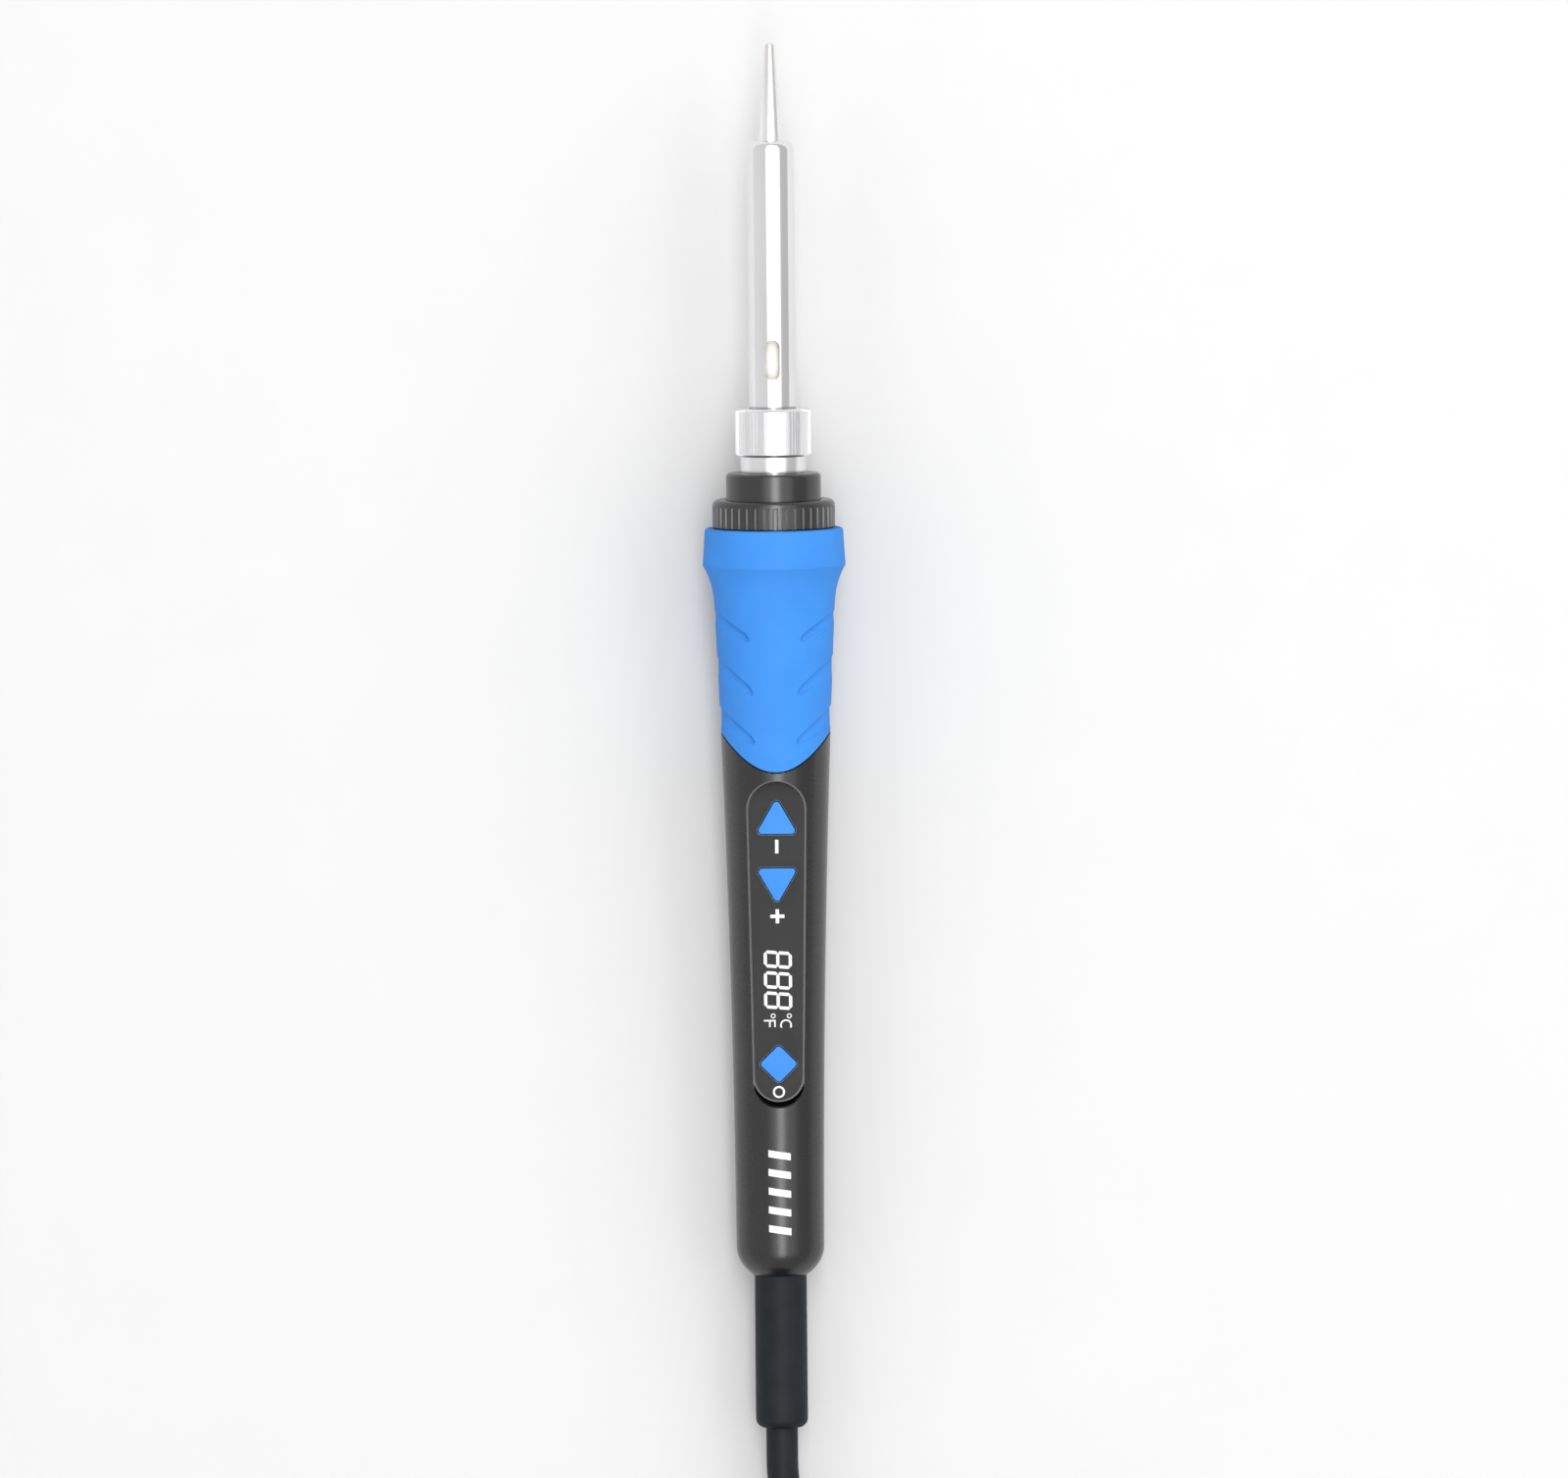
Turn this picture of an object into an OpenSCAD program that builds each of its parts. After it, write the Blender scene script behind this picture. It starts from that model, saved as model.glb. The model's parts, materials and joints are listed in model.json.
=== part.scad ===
// Mains soldering iron with a digital temperature control in its handle.
// It lies on its grip and the rear of its handle, tip towards +Y, control panel up.
// Each piece is drawn on the iron's own axis, with z the distance back from the tip.

/* [Tip] */
// Length of the cone that stands out of the barrel
tip_len = 16.4; // [12:0.2:22]
// Radius of the blunt working end
tip_end_r = 0.8; // [0.4:0.1:1.2]
// Radius of the cone where it enters the barrel
tip_base_r = 1.93; // [1.6:0.01:2]

/* [Barrel] */
// Outer radius of the steel barrel
barrel_r = 4.02; // [3.9:0.01:4.1]
// Distance from the tip to the front of the knurled barrel nut
nut_front = 61.9; // [60:0.1:63]
// Outer radius of the barrel nut
nut_r = 6.5; // [6.2:0.05:7]
// Teeth round the barrel nut
nut_teeth = 72; // [48:2:80]
// Radius of the metal flange behind the barrel nut
ferrule_r = 5.58; // [5.4:0.01:6]

/* [Front of the handle] */
// Radius of the black heater collar
collar_r = 8.08; // [7.8:0.01:8.1]
// Outer radius of the ribbed retaining ring
ring_r = 10.43; // [10.2:0.01:10.6]
// Ribs round the retaining ring
ring_ribs = 42; // [30:2:48]
// Radius of the grip at its flange, which the iron rests on
flange_r = 12.16; // [11.9:0.01:12.6]

/* [Handle] */
// Radius that the handle narrows to at its rear
handle_min_r = 7.45; // [7.3:0.01:7.5]
// How fast the handle widens towards the grip, per square millimetre
handle_flare = 0.0001965; // [0.00019:0.0000005:0.0002]
// Wall thickness of the handle shells
wall = 1.6; // [1.5:0.05:1.7]
// Radius of the strain relief
relief_r = 4.43; // [4.4:0.01:4.45]
// Distance from the tip to the end of the strain relief
tool_len = 235.9; // [232:0.1:240]

/* [Panel] */
// Corner radius of the three button caps
button_corner = 0.6; // [0.5:0.05:0.7]
// How far a button cap stands out of the panel
button_proud = 0.45; // [0.42:0.01:0.6]
// How far a button can be pressed
button_travel = 0.4; // [0.3:0.05:0.4]

/* [Cord] */
// Diameter of the mains cord
cord_d = 5.4; // [5.2:0.1:5.4]

/* [Hidden] */
$fn = 64;

// stations along the axis, millimetres back from the tip
nut_len = 8.1;
ferrule_front = nut_front + nut_len + 0.1;
collar_front = ferrule_front + 2.8;
ring_front = collar_front + 4.5;
bevel_end = ring_front + 1.5;        // rear of the ring's plain bevel and inner lip
washer_s = bevel_end + 0.1;
collar_flange = ring_front + 2.2;    // front face of the collar's hidden flange
thread_s = ring_front + 3.3;         // front end of the shells' thread
base_end = ring_front + 12.5;        // rear of the heater's ceramic base
shoulder_s = ring_front + 4.75;      // rear face of the ribbed part of the ring
grip_front = shoulder_s + 0.15;
flange_s = grip_front + 6.3;
seat_s = flange_s - 0.6;             // where the shells step down to the grip's seat
tip_tail = 43;                       // rear end of the tip's hollow shank
heater_front = 24;
tongue_s = 123.4;                    // rear end of the grip's top and bottom tongues
cheek_s = 117;                       // rear edge of the grip at its sides
dome_s = 204.7;                      // start of the handle's domed end
dome_len = 6.3;
panel_s = 131;
panel_end_s = 175.35;                // centre of the panel's rear end
rear_rest_s = dome_s + 0.2;

seat_r = 8.5;                        // outside of the shells under the grip
thread_r = 9.3;                      // outside of the shells' front thread
core_r = 6.9;                        // inside of the shells under the grip
skirt_r = 9.95;                      // outside of the ring's thread skirt
slip = 0.1;                          // running clearance

// rest attitude: the grip's flange and the rear of the handle touch the bench
tilt = atan((flange_r - dome_r(rear_rest_s)) / (rear_rest_s - flange_s));
axis_z = flange_r * cos(tilt) + flange_s * sin(tilt);
end_round = 1.5;
tip_y = (tool_len * cos(tilt) + (relief_r - end_round) * sin(tilt)) / 2;

// the panel's plane, sloping down to the rear
panel_h = 7.25;
panel_slope = 1.02;
plate_t = 0.9;
pocket_depth = 1.0;
slot_depth = 1.7;                    // of the crescent slot behind the panel
slot_w = 0.85;
bed_depth = 2.2;                     // underside of the shell below the panel
board_depth = 6.4;                   // top face of the circuit board
board_t = 1.2;
board_front = 129.2;
board_rear = 184;
minus_v = -0.9;                      // button centres, measured forwards from panel_s
plus_v = -10.85;
set_v = -42.2;
cap_gap = 0.18;
cap_flange = 0.6;                    // how far a cap's hidden flange stands out round it
flange_t = 0.6;
button_room = bed_depth + slip + flange_t + button_travel + 0.1; // depth left clear for it
plunger_r = 1;
tact_w = 5.2;
tact_h = 1.7;

// the free cord: out of the handle, down to the bench and into the hank
hank_y = -163;                       // centre of the hank's near end
hank_run = 72;                       // straight run of the hank
hank_r = 3 * cord_d;                 // centreline radius of its inner turns
layers = 3;                          // layers of turns below the loose last one
free_y = tip_y - tool_len * cos(tilt); // where the cord leaves its strain relief
free_z = axis_z - tool_len * sin(tilt);
plug_t = 13.7;
plug_w = 35.2;
plug_edge = 1.5;
plug_y = -220.5;                     // where the plug's body begins
plug_len = 31;
pin_r = 2;
pin_pitch = 18.6;
plug_z = layers * cord_d + plug_t / 2;

// radius of the handle's outside at a station
function handle_r(s) = handle_min_r + handle_flare * pow(215 - s, 2);
// the domed end is a quarter ellipse
function dome_r(s) = handle_r(dome_s) * sqrt(1 - pow((s - dome_s) / dome_len, 2));
// the grip lies just under the handle's line and flares out to its flange
grip_sink = 0.03;
function flare_part(s) = max(0, (flange_s + 7.4 - s) / 7.4);
function grip_r(s) = handle_r(s) - grip_sink
    + (flange_r - handle_r(flange_s) + grip_sink) * pow(flare_part(s), 2.5);
function handle_line(grow = 0) = [for (s = [cheek_s:8:dome_s - 3]) [handle_r(s) + grow, s]];
// rear edge of the grip, a parabola seen from above
function edge_s(x) = tongue_s - (tongue_s - cheek_s) * pow(x / 9.2, 2);
// distance from the panel's reference station, for a station s
function v_at(s) = panel_s - s;

function arc(cx, cy, r, from, to, steps) =
    [for (i = [0:steps]) let (a = from + (to - from) * i / steps) [cx + r * cos(a), cy + r * sin(a)]];

module place() translate([0, tip_y, axis_z]) rotate([90 + tilt, 0, 0]) children();
module on_panel(depth = 0)
    translate([0, panel_h, panel_s]) rotate([panel_slope - 90, 0, 0])
        translate([0, 0, -depth]) children();
module turned(points, facets = 96) rotate_extrude($fn = facets) polygon(points);
module tube_s(r_out, r_in, from, to)
    translate([0, 0, from]) difference() {
        cylinder(h = to - from, r = r_out);
        translate([0, 0, -1]) cylinder(h = to - from + 2, r = r_in);
    }
// a disc's axis upright through the handle at a station
module upright(s, x = 0) translate([x, 0, s]) rotate([-90, 0, 0]) children();

// closed outline grown by r, with round corners; points run anticlockwise
function facing(p, q) = atan2(q[1] - p[1], q[0] - p[0]) - 90;
function corner(p, c, q, r) =
    let (a = facing(p, c), b = facing(c, q)) arc(c[0], c[1], r, a, b < a ? b + 360 : b, 6);
module rounded(points, r) {
    n = len(points);
    polygon([for (i = [0:n - 1]) each corner(points[(i + n - 1) % n], points[i], points[(i + 1) % n], r)]);
}
// straight and bent wire through a list of points
module wire(points, r) {
    for (i = [0:len(points) - 2]) let (p = points[i], d = points[i + 1] - p)
        translate(p) rotate([0, acos(d[2] / norm(d)), atan2(d[1], d[0])])
            cylinder(h = norm(d), r = r, $fn = 16);
    for (i = [1:1:len(points) - 2]) translate(points[i]) sphere(r * 1.04, $fn = 16);
}
// toothed outline: each tooth is a raised land between sloped flanks
module toothed(teeth, r_tip, r_root, land)
    polygon([for (i = [0:teeth - 1], k = [0:3])
        let (a = 360 / teeth * (i + [0, land, 0.5, 0.5 + land][k]), r = k < 2 ? r_tip : r_root)
            [r * cos(a), r * sin(a)]]);

// ---- tip and barrel
module tip() color("silver") place()
    turned(concat([[0, 0], [tip_end_r * 0.65, 0], [tip_end_r, 0.35], [tip_base_r, tip_len],
                   [1.98, tip_len + 1.5], [2.5, tip_len + 1.5], [3.2, tip_len + 2.7], [3.2, tip_tail],
                   [2.15, tip_tail], [2.15, heater_front], [0, heater_front - 1.5]]));

module barrel() color("gainsboro") place() difference() {
    nose = 1.7;
    neck_r = 3.85; // just under the nut
    turned(concat([[2.15, tip_len]], arc(barrel_r - nose, tip_len + nose, nose, -90, 0, 8),
                  [[barrel_r, nut_front - 0.2], [neck_r, nut_front - 0.2], [neck_r, nut_front + 2.7],
                   [5.2, nut_front + 2.7], [5.2, nut_front + 3.7],
                   [3.45, nut_front + 3.7], [3.45, tip_len + 2.6], [2.6, tip_len + 1.2],
                   [2.15, tip_len + 1.2]]));
    for (side = [0, 180]) rotate([0, 0, side]) translate([0, 3.5, nut_front - 8.3]) rotate([-90, 0, 0]) {
        translate([-1.25, -2.15, -1]) cube([2.5, 4.3, 3]);
        for (end = [-2.15, 2.15]) translate([0, end, -1]) cylinder(h = 3, r = 1.25);
    }
}

module barrel_nut() color("gainsboro") place() difference() {
    intersection() {
        translate([0, 0, nut_front]) linear_extrude(nut_len)
            toothed(nut_teeth, nut_r, nut_r - 0.22, 0.2);
        turned([[0, nut_front], [nut_r - 0.5, nut_front], [nut_r + 0.1, nut_front + 0.6],
                [nut_r + 0.1, nut_front + nut_len - 0.4], [nut_r - 0.3, nut_front + nut_len],
                [0, nut_front + nut_len]]);
    }
    translate([0, 0, nut_front - 1]) cylinder(h = nut_len, r = barrel_r + slip);
    translate([0, 0, nut_front + 2.6]) cylinder(h = nut_len, r = 5.35);
}

module ferrule() color("silver") place()
    turned([[2.6, nut_front + 3.9], [5.25, nut_front + 3.9], [5.25, ferrule_front],
            [ferrule_r - 0.2, ferrule_front], [ferrule_r, ferrule_front + 0.2],
            [ferrule_r, collar_front], [4.6, collar_front], [4.6, collar_flange - 0.1],
            [2.6, collar_flange - 0.1]]);

module heater_rod() color("white") place()
    translate([0, 0, heater_front + 0.3]) cylinder(h = base_end - heater_front - 0.3, r = 1.95);

module heater_base() color("ivory") place() tube_s(4.5, 2, collar_flange + 1, base_end);

module heater_leads() color("tan") place()
    for (x = [-3.4, 3.4], y = [1.28, -1.08]) wire([[x, y, base_end + 0.1], [x, y, 131]], 0.45);

// ---- front of the handle
module collar() color([0.2, 0.2, 0.21]) place() difference() {
    edge = 0.6;
    turned(concat([[4.65, collar_front]], arc(collar_r - edge, collar_front + edge, edge, -90, 0, 5),
                  [[collar_r, collar_flange], [9, collar_flange], [9, collar_flange + 1],
                   [6.8, collar_flange + 1], [6.8, base_end + 2], [4.65, base_end + 2]]));
    translate([0, 0, collar_flange]) cylinder(h = 20, r = 4.9);
}

module slip_washer() color("silver") place()
    tube_s(thread_r, 8.25, washer_s, washer_s + 0.5);

module retaining_ring() color([0.16, 0.16, 0.17]) place() difference() {
    rib_depth = 0.18;
    union() {
        intersection() {
            translate([0, 0, ring_front]) linear_extrude(shoulder_s - ring_front)
                toothed(ring_ribs, ring_r, ring_r - rib_depth, 0.28);
            turned(concat([[0, ring_front], [8.6, ring_front]],
                          arc(ring_r - 1.4, bevel_end, 1.5, -70, 0, 6),
                          [[ring_r + 0.1, shoulder_s], [0, shoulder_s]]));
        }
        translate([0, 0, shoulder_s - 1]) cylinder(h = 6.15, r = skirt_r);
    }
    translate([0, 0, ring_front - 1]) cylinder(h = 20, r = 8.2);
    translate([0, 0, bevel_end]) cylinder(h = 20, r = thread_r + slip);
}

// region ahead of the grip's rear edge, upright through the whole handle
module scallop(beyond = 0) rotate([90, 0, 0]) linear_extrude(40, center = true)
    polygon(concat([[13, 70], [-13, 70]],
                   [for (i = [-13:1:13]) [i * 0.98, edge_s(i * 0.98) + beyond]]));

module grip() color([0.3, 0.63, 1]) place() difference() {
    intersection() {
        turned(concat([[seat_r + 0.05, grip_front]],
                      arc(flange_r - 0.88, grip_front + 0.5, 0.5, -90, 0, 5),
                      [for (s = [flange_s:1:flange_s + 8]) [grip_r(s), s]],
                      [for (s = [flange_s + 11:4:tongue_s + 3]) [grip_r(s), s]],
                      [[seat_r + 0.05, tongue_s + 3]]));
        scallop();
    }
    translate([0, 0, grip_front - 1]) cylinder(h = 7, r = skirt_r + 0.25);
}

// ---- handle shells
module handle_blank() difference() {
    turned(concat([[0, thread_s], [thread_r, thread_s], [thread_r, seat_s], [seat_r, seat_s],
                   [seat_r, cheek_s]],
                  handle_line(),
                  [for (a = [0:10:80]) [handle_r(dome_s) * cos(a), dome_s + dome_len * sin(a)]],
                  [[0, dome_s + dome_len * sin(80)]]));
    difference() {
        intersection() {
            translate([0, 0, cheek_s - 1]) cylinder(h = 9, r = 12);
            scallop(0.06);
        }
        cylinder(h = 150, r = seat_r);
    }
}
module handle_cavity() {
    turned(concat([[0, 70], [core_r, 70], [core_r, cheek_s]],
                  [for (s = [cheek_s + 3:10:dome_s - 2]) [handle_r(s) - wall, s]],
                  [[5.7, dome_s], [5.5, 206], [0, 206]]));
}
// material that stays above the cavity, behind the panel
module panel_bed() on_panel() translate([-9, v_at(panel_end_s) - 7.5, -bed_depth])
    cube([18, 59, 6]);
module screw_post(s, r) upright(s) translate([0, 0, -12]) cylinder(h = 24, r = r);
module cord_stop() tube_s(7.5, 3.1, 200.3, 201.8);
shell_screw_s = [126.5, 187.6];
board_screw_s = [149, 179.5];

// outline of the panel, and of the pocket round it, which reaches further back
front_arc = 4.88;
rear_arc = 4.12;
pocket_gap = 0.25;
pocket_rear = v_at(panel_end_s + 0.95);
module tapered_pill(grow = 0, top = v_at(130.1), low = v_at(panel_end_s))
    polygon(concat(arc(0, top, front_arc + grow, 0, 180, 24), arc(0, low, rear_arc + grow, 180, 360, 24)));
module pocket_outline() tapered_pill(pocket_gap, v_at(129.85), pocket_rear);
module crescent() let (r = rear_arc + pocket_gap)
    polygon(concat(arc(0, pocket_rear, r, 195, 345, 20), arc(0, pocket_rear + slot_w, r, 345, 195, 20)));
// button outlines on the panel: a forward triangle, a rearward one and a diamond
function spokes(n, r, turn, v) =
    [for (i = [0:n - 1]) let (a = turn + 360 * i / n) [r * cos(a), v + r * sin(a)]];
module outline_minus(grow = 0) rounded(spokes(3, 2.887, 90, minus_v), button_corner + grow);
module outline_plus(grow = 0) rounded(spokes(3, 2.887, -90, plus_v), button_corner + grow);
module outline_set(grow = 0) rounded(spokes(4, 2.4, 0, set_v), button_corner + grow);
module outlines(grow) {
    outline_minus(grow);
    outline_plus(grow);
    outline_set(grow);
}

module upper_shell() color([0.24, 0.24, 0.25]) place() difference() {
    intersection() {
        handle_blank();
        translate([-15, 0, 60]) cube([30, 15, 160]);
    }
    difference() {
        handle_cavity();
        panel_bed();
        for (s = shell_screw_s) screw_post(s, 1.9);
        cord_stop();
    }
    on_panel(pocket_depth) linear_extrude(5) pocket_outline();
    on_panel(slot_depth) linear_extrude(5) crescent();
    on_panel(bed_depth + 1) linear_extrude(4) outlines(cap_gap);
    on_panel(bed_depth + 1) translate([-3.75, v_at(168.7), 0]) cube([7.5, 15.9, 4]);
    on_panel(button_room) linear_extrude(button_room - bed_depth) outline_minus(cap_flange + cap_gap);
    for (s = shell_screw_s) upright(s) translate([0, 0, -1]) cylinder(h = 5.2, r = 1);
    translate([0, 0, 200]) cylinder(h = 20, r = relief_r + 0.07);
}

module lower_shell() color([0.24, 0.24, 0.25]) place() difference() {
    intersection() {
        handle_blank();
        translate([-15, -15, 60]) cube([30, 15, 160]);
    }
    difference() {
        handle_cavity();
        for (s = shell_screw_s) screw_post(s, 2.6);
        intersection() {
            for (s = board_screw_s) on_panel() translate([0, v_at(s), -16]) cylinder(h = 10, r = 2);
            on_panel() translate([-6, -70, -20]) cube([12, 90, 20 - board_depth - board_t]);
        }
        cord_stop();
    }
    for (s = shell_screw_s) upright(s) {
        translate([0, 0, -10]) cylinder(h = 11, r = 1.05);
        translate([0, 0, -12]) cylinder(h = 6.4, r = 2);
    }
    for (s = board_screw_s) on_panel() translate([0, v_at(s), -11.5]) cylinder(h = 6, r = 0.95);
    translate([0, 0, 200]) cylinder(h = 20, r = relief_r + 0.07);
}

// ---- control panel
module panel_cover() color([0.27, 0.27, 0.28]) place() on_panel(plate_t) linear_extrude(plate_t)
    difference() {
        tapered_pill();
        outlines(cap_gap);
    }

// flush print and light guides, a thin layer on the panel
print_t = 0.05;
module bar(x, v, w, h) translate([x - w / 2, v - h / 2]) square([w, h]);
// the two unit letters lie on their side, open towards the rear
letter_h = 2;
letter_stroke = 0.26;
module open_ring(x, v, r)
    polygon(concat(arc(x, v, r, -28, 208, 20), arc(x, v, r - letter_stroke, 208, -28, 20)));
module comb(x, arms) {
    bar(x + letter_h / 2, v_at(165.8), letter_h, letter_stroke);
    for (arm = arms) bar(x + arm, v_at(166.3), letter_stroke, 1.2);
}
module panel_marks() color("white") place() on_panel() linear_extrude(print_t) {
    bar(0, v_at(136.1), 0.56, 2.3);
    bar(0, v_at(148), 0.58, 2.4);
    bar(0, v_at(148), 2.4, 0.58);
    translate([0, v_at(178)]) difference() {
        circle(1.03);
        circle(0.7);
    }
    for (x = [1.87, -0.87]) translate([x, v_at(165)]) difference() {
        circle(0.42);
        circle(0.26);
    }
    open_ring(1.3, v_at(166.6), letter_h / 2);
    comb(-2.45, [1, letter_h - letter_stroke / 2]);
}

// one bar of a seven-bar figure, leaning a little; u runs rearwards, w across
module figure_bar(u0, w0, u1, w1) {
    h = 0.27;
    d = [u1 - u0, w1 - w0] / norm([u1 - u0, w1 - w0]);
    n = [-d[1], d[0]];
    p = [u0, w0] + d * 0.06;
    q = [u1, w1] - d * 0.06;
    pts = [p, p + (d - n) * h, q - (d + n) * h, q, q - (d - n) * h, p + (d + n) * h];
    polygon([for (a = pts) [a[1], -(a[0] + a[1] * 0.08)]]);
}
module display_segments() color("white") place() on_panel() linear_extrude(print_t)
    for (s = [155.4, 158.95, 162.4]) translate([0, v_at(s)]) {
        u = 1.19;
        w = 2.12;
        for (level = [-w, 0, w]) figure_bar(-u, level, u, level);
        for (end = [-u, u], level = [-w, 0]) figure_bar(end, level, end, level + w);
    }

// short slanted dashes printed on the rear of the handle
module trim_print() color("white") place() intersection() {
    difference() {
        turned(concat([[0, cheek_s]], handle_line(print_t),
                      [[handle_r(dome_s) + print_t, dome_s], [0, dome_s]]));
        turned(concat([[0, cheek_s - 1], [8, cheek_s - 1]], handle_line(),
                      [[handle_r(dome_s), dome_s], [handle_r(dome_s), dome_s + 1], [0, dome_s + 1]]));
    }
    rotate([-90, 0, 0]) linear_extrude(20) for (i = [0:4]) translate([0, -188 - 3.2 * i])
        polygon([[-1.9, 0.2], [-1.9, -1], [1.9, -1.6], [1.9, -0.4]]);
}

module led_display() color([0.12, 0.12, 0.12]) place() on_panel(board_depth)
    translate([-3.6, v_at(168.5), 0]) cube([7.2, 15.5, board_depth - pocket_depth - 0.05]);

// ---- buttons: cap with a hidden flange, on a switch plunger
flange_top = bed_depth + slip;
module cap() color([0.3, 0.63, 1]) place() on_panel(flange_top + flange_t) {
    linear_extrude(flange_top + flange_t + button_proud) children(0);
    linear_extrude(flange_t) children(1);
}
module button_minus() cap() {
    outline_minus();
    outline_minus(cap_flange);
}
module button_plus() cap() {
    outline_plus();
    outline_plus(cap_flange);
}
module button_set() cap() {
    outline_set();
    outline_set(cap_flange);
}
module plunger(v) color("dimgray") place() on_panel(board_depth - 0.8) translate([0, v, 0])
    cylinder(h = board_depth - 0.8 - flange_top - flange_t, r = plunger_r);
module plunger_minus() plunger(minus_v);
module plunger_plus() plunger(plus_v);
module plunger_set() plunger(set_v);

module tact_switches() color("gray") place() on_panel(board_depth)
    for (v = [minus_v, plus_v, set_v]) translate([0, v, 0]) difference() {
        translate([-tact_w / 2, -tact_w / 2, 0]) cube([tact_w, tact_w, tact_h]);
        translate([0, 0, 0.3]) cylinder(h = tact_h, r = plunger_r + 0.05);
    }

// ---- circuit board and what is on it
module circuit_board() color("darkgreen") place() on_panel(board_depth + board_t) difference() {
    translate([-5.2, v_at(board_rear), 0]) cube([10.4, board_rear - board_front, board_t]);
    for (s = board_screw_s) translate([0, v_at(s), -1]) cylinder(h = 4, r = 1.05);
}
module under_board(s, size, x = 0) on_panel(board_depth + board_t)
    translate([x - size[0] / 2, v_at(s) - size[1] / 2, -size[2]]) cube(size);
module control_chip() color([0.12, 0.12, 0.12]) place() under_board(140.5, [5, 5, 1.2]);
module triac() color([0.15, 0.15, 0.15]) place() under_board(159.5, [5.8, 6.5, 2.3], -0.6);
module capacitor() color("steelblue") place() on_panel(board_depth + board_t + 1.85)
    translate([-1.8, v_at(166), 0]) rotate([90, 0, 0]) cylinder(h = 9.5, r = 1.8);
module board_screws() color("silver") place() for (s = board_screw_s)
    on_panel(board_depth) translate([0, v_at(s), 0]) {
        cylinder(h = 1.1, r = 1.7);
        translate([0, 0, -4.6]) cylinder(h = 5, r = 0.9);
    }
module shell_screws() color("silver") place() for (s = shell_screw_s) upright(s) difference() {
    union() {
        translate([0, 0, -6.9]) cylinder(h = 1.3, r = 1.8);
        translate([0, 0, -6.6]) cylinder(h = 10.2, r = 0.95);
    }
    for (turn = [0, 90]) rotate([0, 0, turn]) translate([-1.1, -0.2, -7.4]) cube([2.2, 0.4, 1]);
}

// ---- wiring and the cord's anchor inside the handle
cord_r = cord_d / 2;
core_s = 192;
// the leads run out of the end of the cord's jacket
module mains_leads() color("saddlebrown") place() for (side = [-1, 1])
    wire([[1.2 * side, 0.75, core_s - 0.1], [3.1 * side, 0.75, 189.8], [3.1 * side, 0.9, 180.5]], 0.85);
module earth_lead() color("yellowgreen") place()
    wire([[1.7, -1.3, core_s - 0.1], [3.9, -3.2, 189.5], [3.9, -3.2, base_end + 2.4]], 0.65);
module cord_clamp() color("silver") place() tube_s(4.2, cord_r + 0.02, 195, 200.2);
module cord_core() color([0.18, 0.19, 0.2]) place()
    translate([0, 0, core_s]) cylinder(h = 226 - core_s, r = cord_r);
module strain_relief() color([0.18, 0.19, 0.2]) place()
    turned(concat([[cord_r + 0.08, 202.8], [5.3, 202.8], [5.3, 204.6], [relief_r, 204.6]],
                  arc(relief_r - end_round, tool_len - end_round, end_round, 0, 90, 6),
                  [[cord_r + 0.08, tool_len]]));

// ---- free cord: a tube swept along its route
function unit(v) = v / norm(v);
function heading(p, i) = unit(p[min(i + 1, len(p) - 1)] - p[max(i - 1, 0)]);
function ring_at(p, i, r, sides) =
    let (t = heading(p, i), side = unit(cross(t, [0, 0, 1])), up = cross(side, t))
        [for (k = [0:sides - 1]) p[i] + r * (side * cos(360 * k / sides) + up * sin(360 * k / sides))];
module swept(p, r, sides = 10) {
    n = len(p);
    polyhedron([for (i = [0:n - 1]) each ring_at(p, i, r, sides)],
               concat([[for (k = [0:sides - 1]) k]],
                      [for (i = [0:n - 2], k = [0:sides - 1]) let (m = (k + 1) % sides)
                          [i * sides + m, i * sides + k, (i + 1) * sides + k, (i + 1) * sides + m]],
                      [[for (k = [sides - 1:-1:0]) (n - 1) * sides + k]]));
}
// sideways step of a double bend of two equal arcs, u along it from 0 to along
function s_bend(u, across, along) =
    let (half = along / 2, r = (pow(across / 2, 2) + half * half) / across)
        u < half ? r - sqrt(r * r - pow(max(u, 0), 2)) : across - r + sqrt(r * r - pow(along - u, 2));
function eased(t) = (1 - cos(180 * min(1, max(0, t)))) / 2;
function layer_z(k) = cord_d * (k + 0.5);

// out of the relief, down to the bench and then sideways into the hank's outer turn
lead_len = free_y - hank_y;
lead_straight = 6;
lead_route = [for (i = [-2:12]) let (u = lead_len * i / 12)
    [s_bend(u - lead_straight, hank_r + cord_d, lead_len - lead_straight), free_y - u,
     free_z - min(u, 0) * tan(tilt) - (free_z - layer_z(0)) * eased(u / 37)]];
// up to the loose top turn, round the near end and down the middle to the plug
tail_len = 37;
tail_route = concat(
    [for (u = [0:5:45]) [-hank_r, hank_y - 50 + u, layer_z(2) + cord_d * eased(u / 25)]],
    [for (p = arc(0, hank_y, hank_r, 180, 0, 10)) [p[0], p[1], layer_z(3)]],
    [for (i = [1:10]) let (u = tail_len * i / 10)
        [hank_r - s_bend(u, hank_r, tail_len), hank_y - u,
         layer_z(3) + (plug_z - layer_z(3)) * eased(u / tail_len)]],
    [for (y = [-210, plug_y + 1.5]) [0, y, plug_z]]);
module cord() color([0.18, 0.19, 0.2]) swept(lead_route, cord_r);
module cord_tail() color([0.18, 0.19, 0.2]) swept(tail_route, cord_r);

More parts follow.
